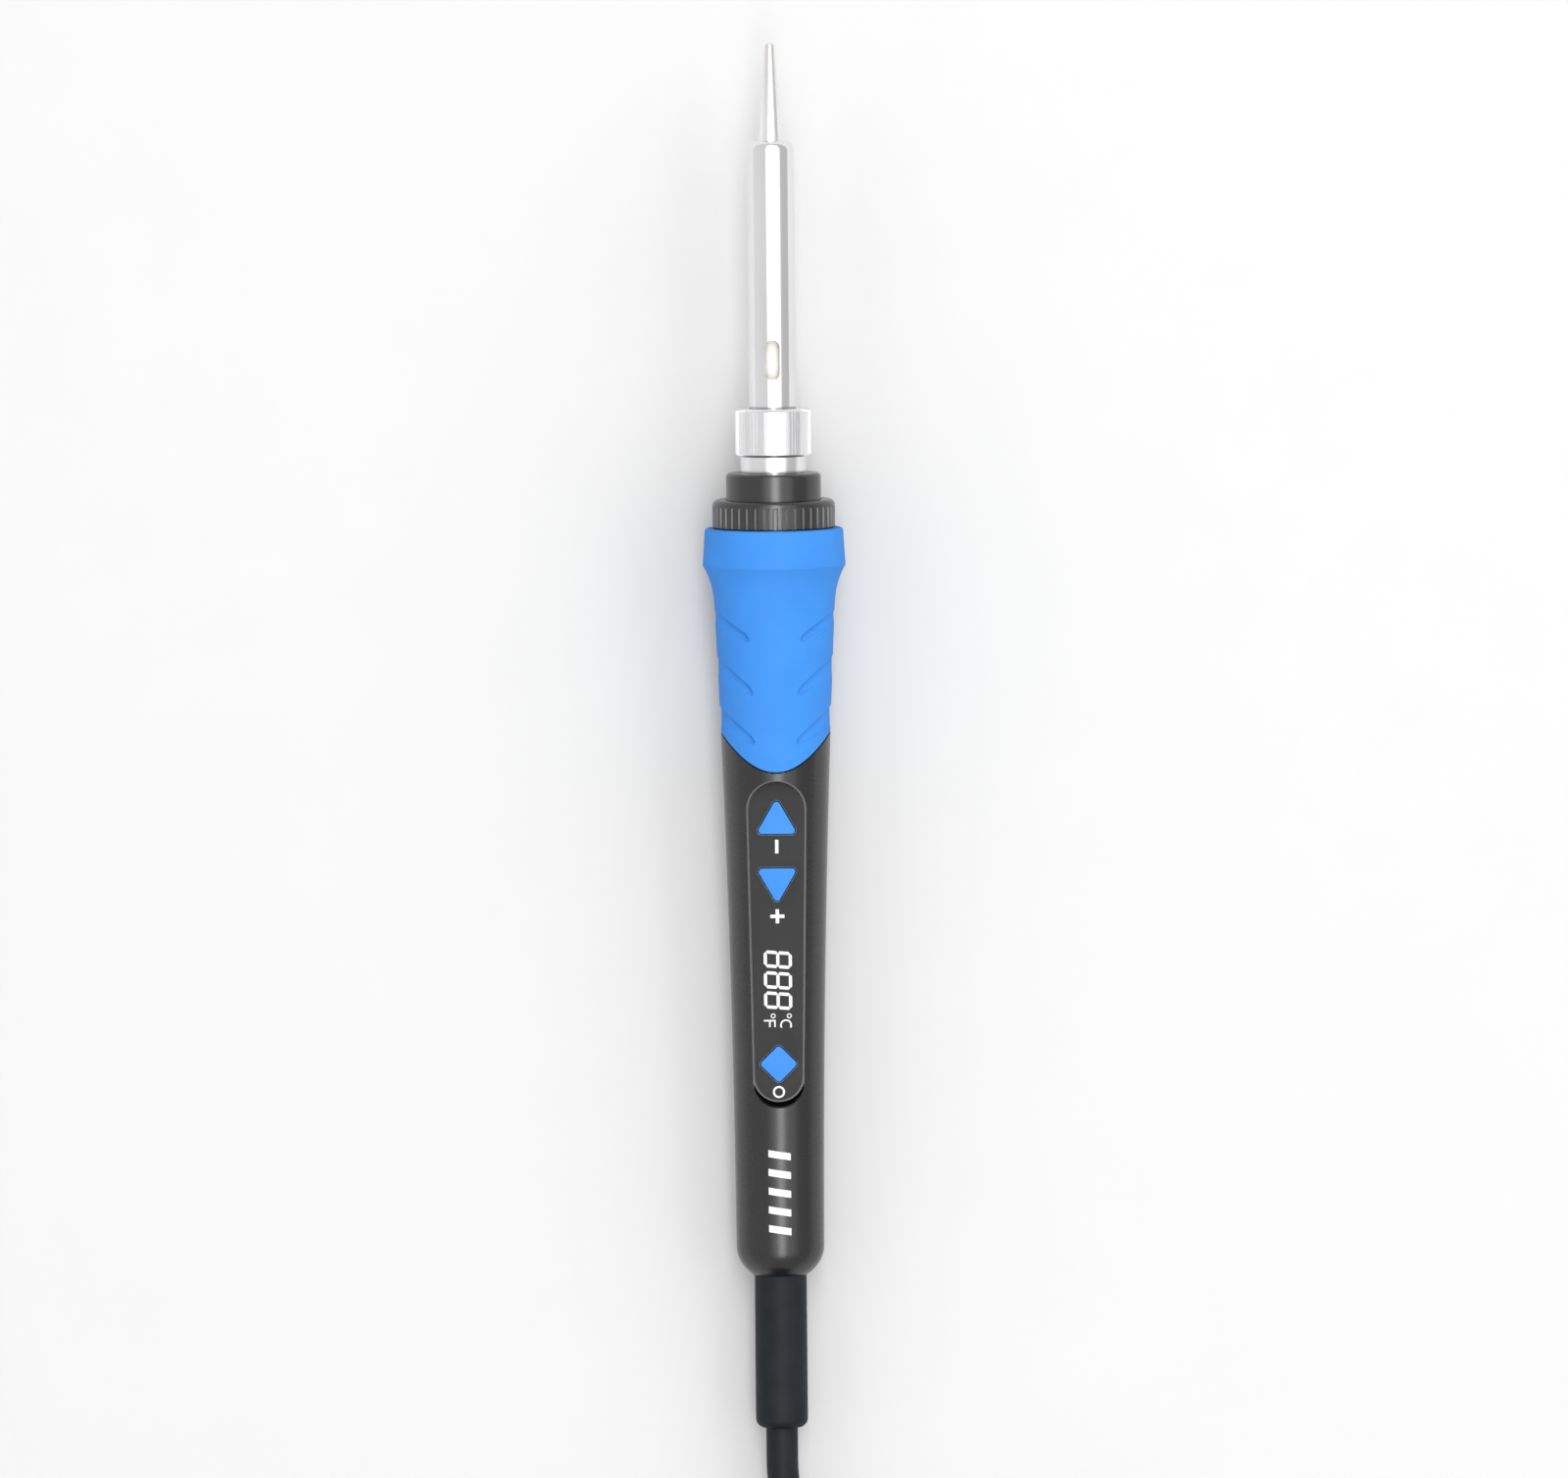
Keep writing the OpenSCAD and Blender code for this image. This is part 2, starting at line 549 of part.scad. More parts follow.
// the folded hank's outer shape, with room for its tie
hank_out = hank_r + 1.5 * cord_d;
hank_h = layers * cord_d;
tie_y = -219.5;
tie_w = 6;
tie_t = 0.7;
module tie_band(grow) translate([-hank_out - grow, tie_y, -1])
    cube([2 * (hank_out + grow), tie_w, hank_h + 1 + grow]);
module cord_hank() color([0.18, 0.19, 0.2]) difference() {
    union() {
        for (y = [hank_y, hank_y - hank_run]) translate([0, y, 0]) cylinder(h = hank_h, r = hank_out);
        translate([-hank_out, hank_y - hank_run, 0]) cube([2 * hank_out, hank_run, hank_h]);
    }
    translate([-30, tie_y, -1]) cube([60, tie_w, 1 + tie_t]);
}
module cord_tie() color("black") {
    difference() {
        translate([-hank_out - tie_t, tie_y, 0])
            cube([2 * (hank_out + tie_t), tie_w, hank_h + tie_t]);
        translate([-hank_out, tie_y - 1, tie_t]) cube([2 * hank_out, tie_w + 2, hank_h - tie_t]);
    }
    translate([8, tie_y, hank_h + tie_t]) cube([5, tie_w, 3]);
}

// ---- two-pin plug lying on the hank, pins away from the iron
module lying() translate([0, plug_y, plug_z]) rotate([90, 0, 0]) children();
module plug_relief() color([0.18, 0.19, 0.2]) lying() translate([0, 0, -20])
    turned([[cord_r + 0.08, 0], [3.3, 0], [5.1, 19.5], [5.1, 20], [cord_r + 0.08, 20]]);
module plug_body() color([0.18, 0.19, 0.2]) lying() rotate([90, 0, 0]) translate([0, 0, -plug_t / 2])
    linear_extrude(plug_t) let (half = plug_w / 2 - plug_edge, rear = plug_len - plug_edge)
        rounded([[-4.5, plug_edge], [4.5, plug_edge], [13.8, 13], [half, 22], [half, rear],
                 [-half, rear], [-half, 22], [-13.8, 13]], plug_edge);
module plug_pins() color("silver") lying() for (side = [-1, 1])
    translate([side * pin_pitch / 2, 0, plug_len])
        turned([[0, 0], [pin_r, 0], [pin_r, 17.8], [0.9, 19], [0, 19]]);

tip();
barrel();
barrel_nut();
ferrule();
heater_rod();
heater_base();
heater_leads();
collar();
slip_washer();
retaining_ring();
grip();
upper_shell();
lower_shell();
panel_cover();
panel_marks();
display_segments();
trim_print();
led_display();
button_minus();
button_plus();
button_set();
plunger_minus();
plunger_plus();
plunger_set();
tact_switches();
circuit_board();
control_chip();
triac();
capacitor();
board_screws();
shell_screws();
mains_leads();
earth_lead();
cord_clamp();
cord_core();
strain_relief();
cord();
cord_hank();
cord_tie();
cord_tail();
plug_relief();
plug_body();
plug_pins();
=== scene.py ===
import json
import math

import bmesh
import bpy
from mathutils import Matrix, Vector

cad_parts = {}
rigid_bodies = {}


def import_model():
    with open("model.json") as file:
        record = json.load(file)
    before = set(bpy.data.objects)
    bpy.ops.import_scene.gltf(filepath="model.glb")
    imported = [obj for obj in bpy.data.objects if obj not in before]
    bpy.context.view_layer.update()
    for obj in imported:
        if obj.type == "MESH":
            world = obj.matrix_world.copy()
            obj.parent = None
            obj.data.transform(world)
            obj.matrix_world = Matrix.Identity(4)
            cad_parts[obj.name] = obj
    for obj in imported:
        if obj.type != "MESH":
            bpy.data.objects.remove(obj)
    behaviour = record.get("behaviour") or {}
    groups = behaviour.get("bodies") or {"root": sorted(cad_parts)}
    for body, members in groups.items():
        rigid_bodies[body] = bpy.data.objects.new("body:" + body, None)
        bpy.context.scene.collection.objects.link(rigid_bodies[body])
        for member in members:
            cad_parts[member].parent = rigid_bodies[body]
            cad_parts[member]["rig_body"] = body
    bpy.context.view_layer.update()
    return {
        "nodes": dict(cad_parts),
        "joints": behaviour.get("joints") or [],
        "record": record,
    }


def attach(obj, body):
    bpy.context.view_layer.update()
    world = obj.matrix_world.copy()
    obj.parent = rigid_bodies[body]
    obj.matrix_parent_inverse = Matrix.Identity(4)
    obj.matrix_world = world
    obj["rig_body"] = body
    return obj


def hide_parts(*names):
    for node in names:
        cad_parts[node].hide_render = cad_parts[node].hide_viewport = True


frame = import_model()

scene = bpy.context.scene
MM = 0.001

# ---------------------------------------------------------------- the iron's own axes
# Stations are millimetres back from the tip, along the axis; x is to the right, y up
# out of the panel. The nut's joint gives a point on the axis and the way to the tip.
JOINTS = {joint["name"]: joint for joint in frame["joints"]}
NUT_STATION = 66
FORWARD = Vector(JOINTS["nut_turn"]["axis"]).normalized()
RIGHT = Vector((1, 0, 0))
UP = RIGHT.cross(FORWARD)
TIP = Vector(JOINTS["nut_turn"]["pos_m"]) + FORWARD * NUT_STATION * MM


def at(x, y, s):
    """A point of the iron in the row frame, from millimetres on its own axes."""
    return TIP + (RIGHT * x + UP * y - FORWARD * s) * MM


# the panel's plane, sloping down to the rear
PANEL_S, PANEL_H, PANEL_SLOPE = 131, 7.25, math.radians(1.02)


def on_panel(x, v, depth=0.0):
    """A point on the panel's plane, v millimetres ahead of its reference station."""
    c, s = math.cos(PANEL_SLOPE), math.sin(PANEL_SLOPE)
    return at(x, PANEL_H + v * s - depth * c, PANEL_S - v * c - depth * s)


# ---------------------------------------------------------------- camera
VIEW_TILT = math.radians(1.77)      # the camera stands a little towards the tip
ROLL = 0.0092                       # the iron leans this much to the left in the view
VIEW_WIDTH = 0.2667
VIEW_STATION, VIEW_SIDE = 118.3, 1.4


def make_camera():
    data = bpy.data.cameras.new("camera")
    data.lens, data.sensor_width = 500, 36
    camera = bpy.data.objects.new("camera", data)
    scene.collection.objects.link(camera)
    back = Vector((0, math.sin(VIEW_TILT), math.cos(VIEW_TILT)))
    up = Vector((0, math.cos(VIEW_TILT), -math.sin(VIEW_TILT)))
    side = (RIGHT - up * ROLL).normalized()
    up = back.cross(side)
    distance = VIEW_WIDTH * data.lens / data.sensor_width
    place = at(0, 0, VIEW_STATION) + side * VIEW_SIDE * MM + back * distance
    camera.matrix_world = Matrix.Translation(place) @ Matrix((side, up, back)).transposed().to_4x4()
    data.clip_start, data.clip_end = 0.1, 20
    scene.camera = camera


# ---------------------------------------------------------------- materials
class Nodes:
    """Builds one material's node tree around its Principled shader."""

    def __init__(self, name, colour, roughness, metallic=0.0):
        self.material = bpy.data.materials.new(name)
        self.material.use_nodes = True
        self.tree = self.material.node_tree
        self.shader = self.tree.nodes["Principled BSDF"]
        self.put("Base Color", (*colour, 1))
        self.put("Roughness", roughness)
        self.put("Metallic", metallic)

    def put(self, socket, value):
        self.shader.inputs[socket].default_value = value

    def add(self, kind, **settings):
        made = self.tree.nodes.new(kind)
        for key, value in settings.items():
            if key in made.inputs:
                made.inputs[key].default_value = value
            else:
                setattr(made, key, value)
        return made

    def join(self, out, into):
        self.tree.links.new(out, into)

    def grain(self, scale, stretch=(1, 1, 1), detail=3.0):
        """Noise in the object's own place, stretched along its axes."""
        where = self.add("ShaderNodeTexCoord")
        mapping = self.add("ShaderNodeMapping", Scale=stretch)
        noise = self.add("ShaderNodeTexNoise", Scale=scale, Detail=detail)
        self.join(where.outputs["Object"], mapping.inputs["Vector"])
        self.join(mapping.outputs["Vector"], noise.inputs["Vector"])
        return noise.outputs["Fac"]

    def ramp(self, fac, low, high, at_low=0.35, at_high=0.65):
        ramp = self.add("ShaderNodeValToRGB")
        ends = ramp.color_ramp.elements
        ends[0].position, ends[0].color = at_low, (*low, 1)
        ends[1].position, ends[1].color = at_high, (*high, 1)
        self.join(fac, ramp.inputs["Fac"])
        return ramp.outputs["Color"]

    def spread(self, fac, low, high):
        """Maps a 0 to 1 value onto low to high."""
        mapped = self.add("ShaderNodeMapRange", **{"To Min": low, "To Max": high})
        self.join(fac, mapped.inputs["Value"])
        return mapped.outputs["Result"]

    def bump(self, fac, strength, distance):
        bump = self.add("ShaderNodeBump", Strength=strength, Distance=distance)
        self.join(fac, bump.inputs["Height"])
        self.join(bump.outputs["Normal"], self.shader.inputs["Normal"])


def shades(colour, by):
    return tuple(c * (1 - by) for c in colour), tuple(min(1, c * (1 + by)) for c in colour)


def moulded(name, colour, roughness, vary=0.05, gloss=0.5):
    """Moulded plastic: fine spark grain, a slight cloud of tone and uneven gloss."""
    made = Nodes(name, colour, roughness)
    cloud = made.grain(160)
    made.join(made.ramp(cloud, *shades(colour, vary)), made.shader.inputs["Base Color"])
    spark = made.grain(9000, detail=4)
    made.join(made.spread(spark, roughness - 0.05, roughness + 0.06), made.shader.inputs["Roughness"])
    made.bump(spark, 0.25, 0.00002)
    made.put("Specular IOR Level", gloss)
    return made.material


def silicone(name, colour):
    """Soft rubber: a fine dust-like tooth gives broad even light and hardly any gloss."""
    made = Nodes(name, colour, 0.55)
    made.join(made.ramp(made.grain(120), *shades(colour, 0.03)), made.shader.inputs["Base Color"])
    tooth = made.grain(14000, detail=2)
    made.join(made.spread(tooth, 0.5, 0.62), made.shader.inputs["Roughness"])
    made.bump(tooth, 0.2, 0.000015)
    made.put("Specular IOR Level", 0.08)
    return made.material


def turned_metal(name, colour, roughness):
    """Polished steel with fine turning lines round it and a trace of handling marks."""
    made = Nodes(name, colour, roughness, 1.0)
    lines = made.grain(1, (40, 9000, 40), detail=2)
    cloud = made.grain(90, (1, 0.3, 1))
    made.join(made.ramp(cloud, *shades(colour, 0.04)), made.shader.inputs["Base Color"])
    made.join(made.spread(lines, roughness - 0.04, roughness + 0.06), made.shader.inputs["Roughness"])
    made.bump(lines, 0.2, 0.000004)
    return made.material


def heated_tip(name, colour):
    """Iron-plated tip: bright at the cone, a little straw tint and dulling near the end."""
    made = Nodes(name, colour, 0.22, 1.0)
    where = made.add("ShaderNodeTexCoord")
    split = made.add("ShaderNodeSeparateXYZ")
    made.join(where.outputs["Object"], split.inputs["Vector"])
    tinted_len, tint = 14, (0.78, 0.76, 0.74)
    ends = {"From Min": at(0, 0, tinted_len).y, "From Max": at(0, 0, 0).y}
    along = made.add("ShaderNodeMapRange", **ends)
    made.join(split.outputs["Y"], along.inputs["Value"])
    made.join(made.ramp(along.outputs["Result"], colour, tint, 0.0, 1.0),
              made.shader.inputs["Base Color"])
    spots = made.grain(900, (1, 0.4, 1))
    made.join(made.spread(spots, 0.14, 0.34), made.shader.inputs["Roughness"])
    made.bump(spots, 0.15, 0.00001)
    return made.material


def jacket(name, colour):
    """Rubber cord jacket: satin black with a slightly uneven, dusty surface."""
    made = Nodes(name, colour, 0.5)
    made.put("Specular IOR Level", 0.12)
    made.join(made.ramp(made.grain(260), *shades(colour, 0.1)), made.shader.inputs["Base Color"])
    skin = made.grain(5000, (1, 0.25, 1))
    made.join(made.spread(skin, 0.42, 0.6), made.shader.inputs["Roughness"])
    made.bump(skin, 0.25, 0.00002)
    return made.material


def woven(name, colour):
    """Narrow woven strap: crossing threads from two waves."""
    made = Nodes(name, colour, 0.85)
    where = made.add("ShaderNodeTexCoord")
    threads = []
    for direction in ("X", "Y"):
        wave = made.add("ShaderNodeTexWave", Scale=700.0, bands_direction=direction)
        made.join(where.outputs["Object"], wave.inputs["Vector"])
        threads.append(wave.outputs["Fac"])
    cross = made.add("ShaderNodeMath", operation="MULTIPLY")
    for out, into in zip(threads, cross.inputs):
        made.join(out, into)
    made.join(made.ramp(cross.outputs[0], *shades(colour, 0.3)), made.shader.inputs["Base Color"])
    made.bump(cross.outputs[0], 0.6, 0.0001)
    return made.material


def print_ink(name, colour):
    """Screen-printed ink with slight thin spots."""
    made = Nodes(name, colour, 0.55)
    spots = made.grain(2500)
    made.join(made.ramp(spots, *shades(colour, 0.03)), made.shader.inputs["Base Color"])
    made.bump(spots, 0.1, 0.00001)
    return made.material


def board_green(name, colour):
    """Solder mask over a faint grid of copper tracks."""
    made = Nodes(name, colour, 0.3)
    where = made.add("ShaderNodeTexCoord")
    brick = made.add("ShaderNodeTexBrick", Scale=180.0)
    brick.inputs["Color1"].default_value = (*colour, 1)
    brick.inputs["Color2"].default_value = (*shades(colour, 0.25)[1], 1)
    brick.inputs["Mortar"].default_value = (*shades(colour, 0.3)[0], 1)
    made.join(where.outputs["Object"], brick.inputs["Vector"])
    made.join(brick.outputs["Color"], made.shader.inputs["Base Color"])
    made.bump(brick.outputs["Fac"], 0.2, 0.00003)
    return made.material


BLUE = (0.033, 0.166, 0.475)
MATERIALS = {
    "tip_plating": heated_tip("tip_plating", (0.9, 0.9, 0.91)),
    "barrel_steel": turned_metal("barrel_steel", (0.8, 0.8, 0.81), 0.12),
    "nut_metal": turned_metal("nut_metal", (0.8, 0.8, 0.81), 0.21),
    "black_plastic": moulded("black_plastic", (0.005, 0.005, 0.0054), 0.23, gloss=0.8),
    "blue_silicone": silicone("blue_silicone", BLUE),
    "handle_plastic": moulded("handle_plastic", (0.006, 0.006, 0.0062), 0.26, gloss=0.62),
    "panel_plastic": moulded("panel_plastic", (0.024, 0.024, 0.024), 0.55, gloss=0.1),
    # lighter grey for the panel plate's eased edges: a painted highlight line round the plate
    "panel_edge_painted_highlight": moulded("panel_edge_painted_highlight", (0.13, 0.13, 0.13), 0.35),
    # light grey for the eased edges of the button holes: a painted highlight ring round each hole
    "hole_edge_painted_highlight": moulded("hole_edge_painted_highlight", (0.34, 0.34, 0.34), 0.35),
    # lighter grey for the sloped flanks of the ring's ribs: painted highlight lines along the ribs
    "rib_flank_painted_highlight": moulded("rib_flank_painted_highlight", (0.1, 0.1, 0.1), 0.35),
    # near-black matt for the floor of the slot behind the panel: a painted shadow in the gap
    "slot_painted_shadow": moulded("slot_painted_shadow", (0.003, 0.003, 0.003), 0.85, gloss=0.02),
    "button_plastic": moulded("button_plastic", BLUE, 0.5, vary=0.02, gloss=0.1),
    "white_print": print_ink("white_print", (0.53, 0.53, 0.53)),
    "ceramic": moulded("ceramic", (0.85, 0.83, 0.78), 0.6),
    "washer_steel": turned_metal("washer_steel", (0.6, 0.6, 0.62), 0.35),
    "heater_wire": woven("heater_wire", (0.7, 0.62, 0.48)),
    "board": board_green("board", (0.02, 0.16, 0.07)),
    "chip_black": moulded("chip_black", (0.03, 0.03, 0.03), 0.6),
    "switch_grey": moulded("switch_grey", (0.35, 0.35, 0.36), 0.5),
    "capacitor_sleeve": moulded("capacitor_sleeve", (0.05, 0.12, 0.3), 0.3),
    "screw_steel": turned_metal("screw_steel", (0.5, 0.5, 0.52), 0.35),
    "lead_brown": moulded("lead_brown", (0.25, 0.1, 0.04), 0.4),
    "lead_earth": moulded("lead_earth", (0.35, 0.5, 0.05), 0.4),
    "cord_jacket": jacket("cord_jacket", (0.0093, 0.0113, 0.0135)),
    "tie_black": woven("tie_black", (0.02, 0.02, 0.02)),
    "pin_brass": turned_metal("pin_brass", (0.75, 0.73, 0.68), 0.25),
}


def dress_cad_nodes():
    """Every CAD node takes its slot's material, whether or not a piece replaces it."""
    for part in frame["record"]["subparts"]:
        mesh = frame["nodes"][part["node"]].data
        mesh.materials.clear()
        mesh.materials.append(MATERIALS[part["material_slot"]])


# ---------------------------------------------------------------- mesh tools
def arc(cx, cy, r, start, end, steps):
    """Points round (cx, cy), from one angle in degrees to the other."""
    turns = [math.radians(start + (end - start) * i / steps) for i in range(steps + 1)]
    return [(cx + r * math.cos(a), cy + r * math.sin(a)) for a in turns]


def eased(points, radius, steps=3):
    """A closed outline with each corner rounded, as far as its edges allow."""
    made = []
    for i, here in enumerate(points):
        before, after = Vector(points[i - 1]), Vector(points[(i + 1) % len(points)])
        here = Vector(here)
        back, on = before - here, after - here
        turn = math.pi - back.angle(on) if min(back.length, on.length) > 1e-6 else 0
        cut = min(radius * math.tan(turn / 2), 0.4 * back.length, 0.4 * on.length)
        if turn < math.radians(8) or cut < 1e-4:
            made.append(tuple(here))
            continue
        start, end = here + back.normalized() * cut, here + on.normalized() * cut
        for k in range(steps + 1):
            t = k / steps
            made.append(tuple(start * (1 - t) ** 2 + here * 2 * t * (1 - t) + end * t * t))
    return made


def finish_mesh(name, bm, node, smooth_angle=35):
    """Turns a bmesh into a shaded piece that stands for a CAD node on its body."""
    bmesh.ops.recalc_face_normals(bm, faces=bm.faces)
    for edge in bm.edges:
        edge.smooth = edge.calc_face_angle(0) < math.radians(smooth_angle)
    for face in bm.faces:
        face.smooth = True
    mesh = bpy.data.meshes.new(name)
    bm.to_mesh(mesh)
    bm.free()
    piece = bpy.data.objects.new(name, mesh)
    scene.collection.objects.link(piece)
    return stand_for(piece, node)


def stand_for(piece, node):
    """Rides and paints a piece that replaces a CAD node, with its slot's material, and hides the node.
    """
    slot = next(p["material_slot"] for p in frame["record"]["subparts"] if p["node"] == node)
    body = frame["nodes"][node]["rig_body"]
    piece.data.materials.clear()
    piece.data.materials.append(MATERIALS[slot])
    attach(piece, body)
    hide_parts(node)
    return piece


def spun(bm, outline, turns, radius=lambda s, r, a: r, to_world=None):
    """A closed (s, r) outline spun about the iron's axis; points on the axis are joined.

    turns lists the angles, from straight up and clockwise seen from the tip; a full
    circle leaves the last one out. radius may change r with the station and the angle.
    """
    to_world = to_world or (lambda r, a, s: at(r * math.sin(a), r * math.cos(a), s))
    full = abs(turns[-1] - turns[0]) > math.radians(300)
    rings = []
    for s, r in outline:
        if r < 1e-6:
            rings.append([bm.verts.new(to_world(0, 0, s))] * len(turns))
        else:
            rings.append([bm.verts.new(to_world(radius(s, r, a), a, s)) for a in turns])
    count = len(turns) if full else len(turns) - 1
    for i in range(len(rings)):
        ring, after = rings[i], rings[(i + 1) % len(rings)]
        for k in range(count):
            m = (k + 1) % len(turns)
            corners = []
            for vert in (ring[k], ring[m], after[m], after[k]):
                if vert not in corners:
                    corners.append(vert)
            if len(corners) > 2:
                bm.faces.new(corners)
    if not full:
        for k in (0, len(turns) - 1):
            bm.faces.new([ring[k] for ring in rings])


def skin_rings(bm, rings):
    """Joins rings of corners, each to the next and the last to the first."""
    for i, ring in enumerate(rings):
        after = rings[(i + 1) % len(rings)]
        for k in range(len(ring)):
            m = (k + 1) % len(ring)
            bm.faces.new((ring[k], ring[m], after[m], after[k]))


def circle_turns(count):
    return [2 * math.pi * i / count for i in range(count)]


def lathe(name, node, outline, count=128, ease=0.12, radius=lambda s, r, a: r):
    bm = bmesh.new()
    spun(bm, eased(outline, ease), circle_turns(count), radius)
    return finish_mesh(name, bm, node)


def baked(thing):
    """A new mesh of the object as its modifiers or its curve settings make it."""
    bpy.context.view_layer.update()
    graph = bpy.context.evaluated_depsgraph_get()
    return bpy.data.meshes.new_from_object(thing.evaluated_get(graph))


def combine(piece, solids, operation="DIFFERENCE"):
    """Cuts solids out of a piece, or joins them to it, and throws the solids away."""
    for solid in solids:
        modifier = piece.modifiers.new("combine", "BOOLEAN")
        modifier.operation, modifier.object, modifier.solver = operation, solid, "EXACT"
    mesh = baked(piece)
    piece.modifiers.clear()
    piece.data = mesh
    for solid in solids:
        bpy.data.objects.remove(solid)


def prism(bm, outline, low, high):
    """A straight-sided solid between two copies of an outline; low and high place points."""
    bottom = [bm.verts.new(low(*p)) for p in outline]
    top = [bm.verts.new(high(*p)) for p in outline]
    bm.faces.new(list(reversed(bottom)))
    bm.faces.new(top)
    for i in range(len(outline)):
        m = (i + 1) % len(outline)
        bm.faces.new([bottom[i], bottom[m], top[m], top[i]])


def prism_cutter(outline, low, high):
    """A prism as a loose object, for cutting or joining."""
    bm = bmesh.new()
    prism(bm, outline, low, high)
    bmesh.ops.recalc_face_normals(bm, faces=bm.faces)
    mesh = bpy.data.meshes.new("cutter")
    bm.to_mesh(mesh)
    bm.free()
    cutter = bpy.data.objects.new("cutter", mesh)
    scene.collection.objects.link(cutter)
    return cutter


def plate(name, node, outlines, low, high, bevel, matrix):
    """A flat plate with holes: a filled 2-D curve, given thickness and eased edges.

    The first outline is the edge and the others are holes, in the plane of matrix.
    """
    curve = bpy.data.curves.new(name, "CURVE")
    curve.dimensions, curve.fill_mode = "2D", "BOTH"
    for outline in outlines:
        spline = curve.splines.new("POLY")
        spline.points.add(len(outline) - 1)
        for point, (x, y) in zip(spline.points, outline):
            point.co = (x * MM, y * MM, 0, 1)
        spline.use_cyclic_u = True
    curve.extrude = (high - low) / 2 * MM - bevel * MM
    curve.bevel_depth, curve.bevel_resolution, curve.offset = bevel * MM, 2, -bevel * MM
    holder = bpy.data.objects.new(name + "_curve", curve)
    scene.collection.objects.link(holder)
    mesh = baked(holder)
    bpy.data.objects.remove(holder)
    mesh.transform(matrix @ Matrix.Translation((0, 0, (low + high) / 2 * MM)))
    bm = bmesh.new()
    bm.from_mesh(mesh)
    bmesh.ops.remove_doubles(bm, verts=bm.verts, dist=2e-6)
    return finish_mesh(name, bm, node, 50)


PANEL_FRAME = Matrix.Translation(on_panel(0, 0)) @ Matrix(
    (
        RIGHT,
        (on_panel(0, 1) - on_panel(0, 0)).normalized(),
        (on_panel(0, 0, -1) - on_panel(0, 0)).normalized(),
    )
).transposed().to_4x4()


# ---------------------------------------------------------------- tip, barrel and nut
TIP_LEN, BARREL_R, NECK_R, NUT_FRONT, NUT_R, NUT_LEN = 16.4, 4.02, 3.85, 61.9, 6.5, 8.1
NUT_TEETH, NUT_MARKS, KNURL_DEPTH = 72, (0.08, 0.13, 0.95), 0.08


def make_tip():
    outline = [(0, 0), (0, 0.55), (0.12, 0.72), (0.35, 0.8), (TIP_LEN, 1.93),
               (TIP_LEN + 1.5, 1.98), (TIP_LEN + 1.5, 2.5), (TIP_LEN + 2.7, 3.2), (43, 3.2),
               (43, 2.15), (24, 2.15), (22.5, 0)]
    lathe("working_tip", "tip", outline, 96, 0.1)


def slot_outline(centre, half_run, half_width):
    ends = arc(0, centre + half_run, half_width, 0, 180, 12)
    return ends + arc(0, centre - half_run, half_width, 180, 360, 12)


def make_barrel():
    nose = 1.7
    outline = [(TIP_LEN, 2.15)]
    outline += [(s, r) for r, s in arc(BARREL_R - nose, TIP_LEN + nose, nose, -90, 0, 10)]
    outline += [(NUT_FRONT - 0.2, BARREL_R), (NUT_FRONT - 0.2, NECK_R), (NUT_FRONT + 2.7, NECK_R),
                (NUT_FRONT + 2.7, 5.2), (NUT_FRONT + 3.7, 5.2), (NUT_FRONT + 3.7, 3.45),
                (TIP_LEN + 2.6, 3.45), (TIP_LEN + 1.2, 2.6), (TIP_LEN + 1.2, 2.15)]
    piece = lathe("steel_barrel", "barrel", outline, 160, 0.1)
    cutters = [
        prism_cutter(slot_outline(NUT_FRONT - 8.3, 2.15, 1.25),
                     lambda x, s, side=side: at(x, 2.5 * side, s),
                     lambda x, s, side=side: at(x, 5 * side, s))
        for side in (1, -1)
    ]
    combine(piece, cutters)
    edge_ease(piece, 0.09, 40)


def edge_ease(piece, width, angle):
    """A fine bevel on the piece's sharp edges."""
    bevel = piece.modifiers.new("ease", "BEVEL")
    bevel.width, bevel.segments = width * MM, 2
    bevel.limit_method, bevel.angle_limit = "ANGLE", math.radians(angle)
    bevel.harden_normals = True


def tooth(angle, count, marks):
    """Height of a toothed rim, 0 in the groove and 1 on the land.

    marks gives, as shares of the pitch, where the groove's floor ends, where the land
    starts and where it ends; the next groove starts at 1.
    """
    floor_end, land_start, land_end = marks
    place = (angle / (2 * math.pi) * count + 1e-6) % 1.0
    if place < land_start:
        return max(0.0, (place - floor_end) / (land_start - floor_end))
    return min(1.0, (1 - place) / (1 - land_end))


def toothed_turns(count, marks, between=0):
    """Angles of a toothed rim's corners, with more points along its lands and floors."""
    floor_end, land_start, land_end = marks
    shares = [0, floor_end, land_start, land_end]
    shares += [floor_end * i / (between + 1) for i in range(1, between + 1)]
    shares += [land_start + (land_end - land_start) * i / (between + 1) for i in range(1, between + 1)]
    return [2 * math.pi * (i + share) / count for i in range(count) for share in sorted(shares)]


def make_nut():
    front, rear = NUT_FRONT, NUT_FRONT + NUT_LEN
    outline = [(front, BARREL_R + 0.1), (front, NUT_R - 0.45), (front + 0.42, NUT_R),
               (front + 0.8, NUT_R), (rear - 0.35, NUT_R), (rear, NUT_R - 0.3), (rear, 5.35),
               (front + 2.6, 5.35), (front + 2.6, BARREL_R + 0.1)]

    def knurled(s, r, a):
        floor = NUT_R - KNURL_DEPTH
        return r if r < floor else floor + (r - floor) * tooth(a, NUT_TEETH, NUT_MARKS)

    bm = bmesh.new()
    spun(bm, eased(outline, 0.06), toothed_turns(NUT_TEETH, NUT_MARKS, 1), knurled)
    finish_mesh("knurled_nut", bm, "barrel_nut")


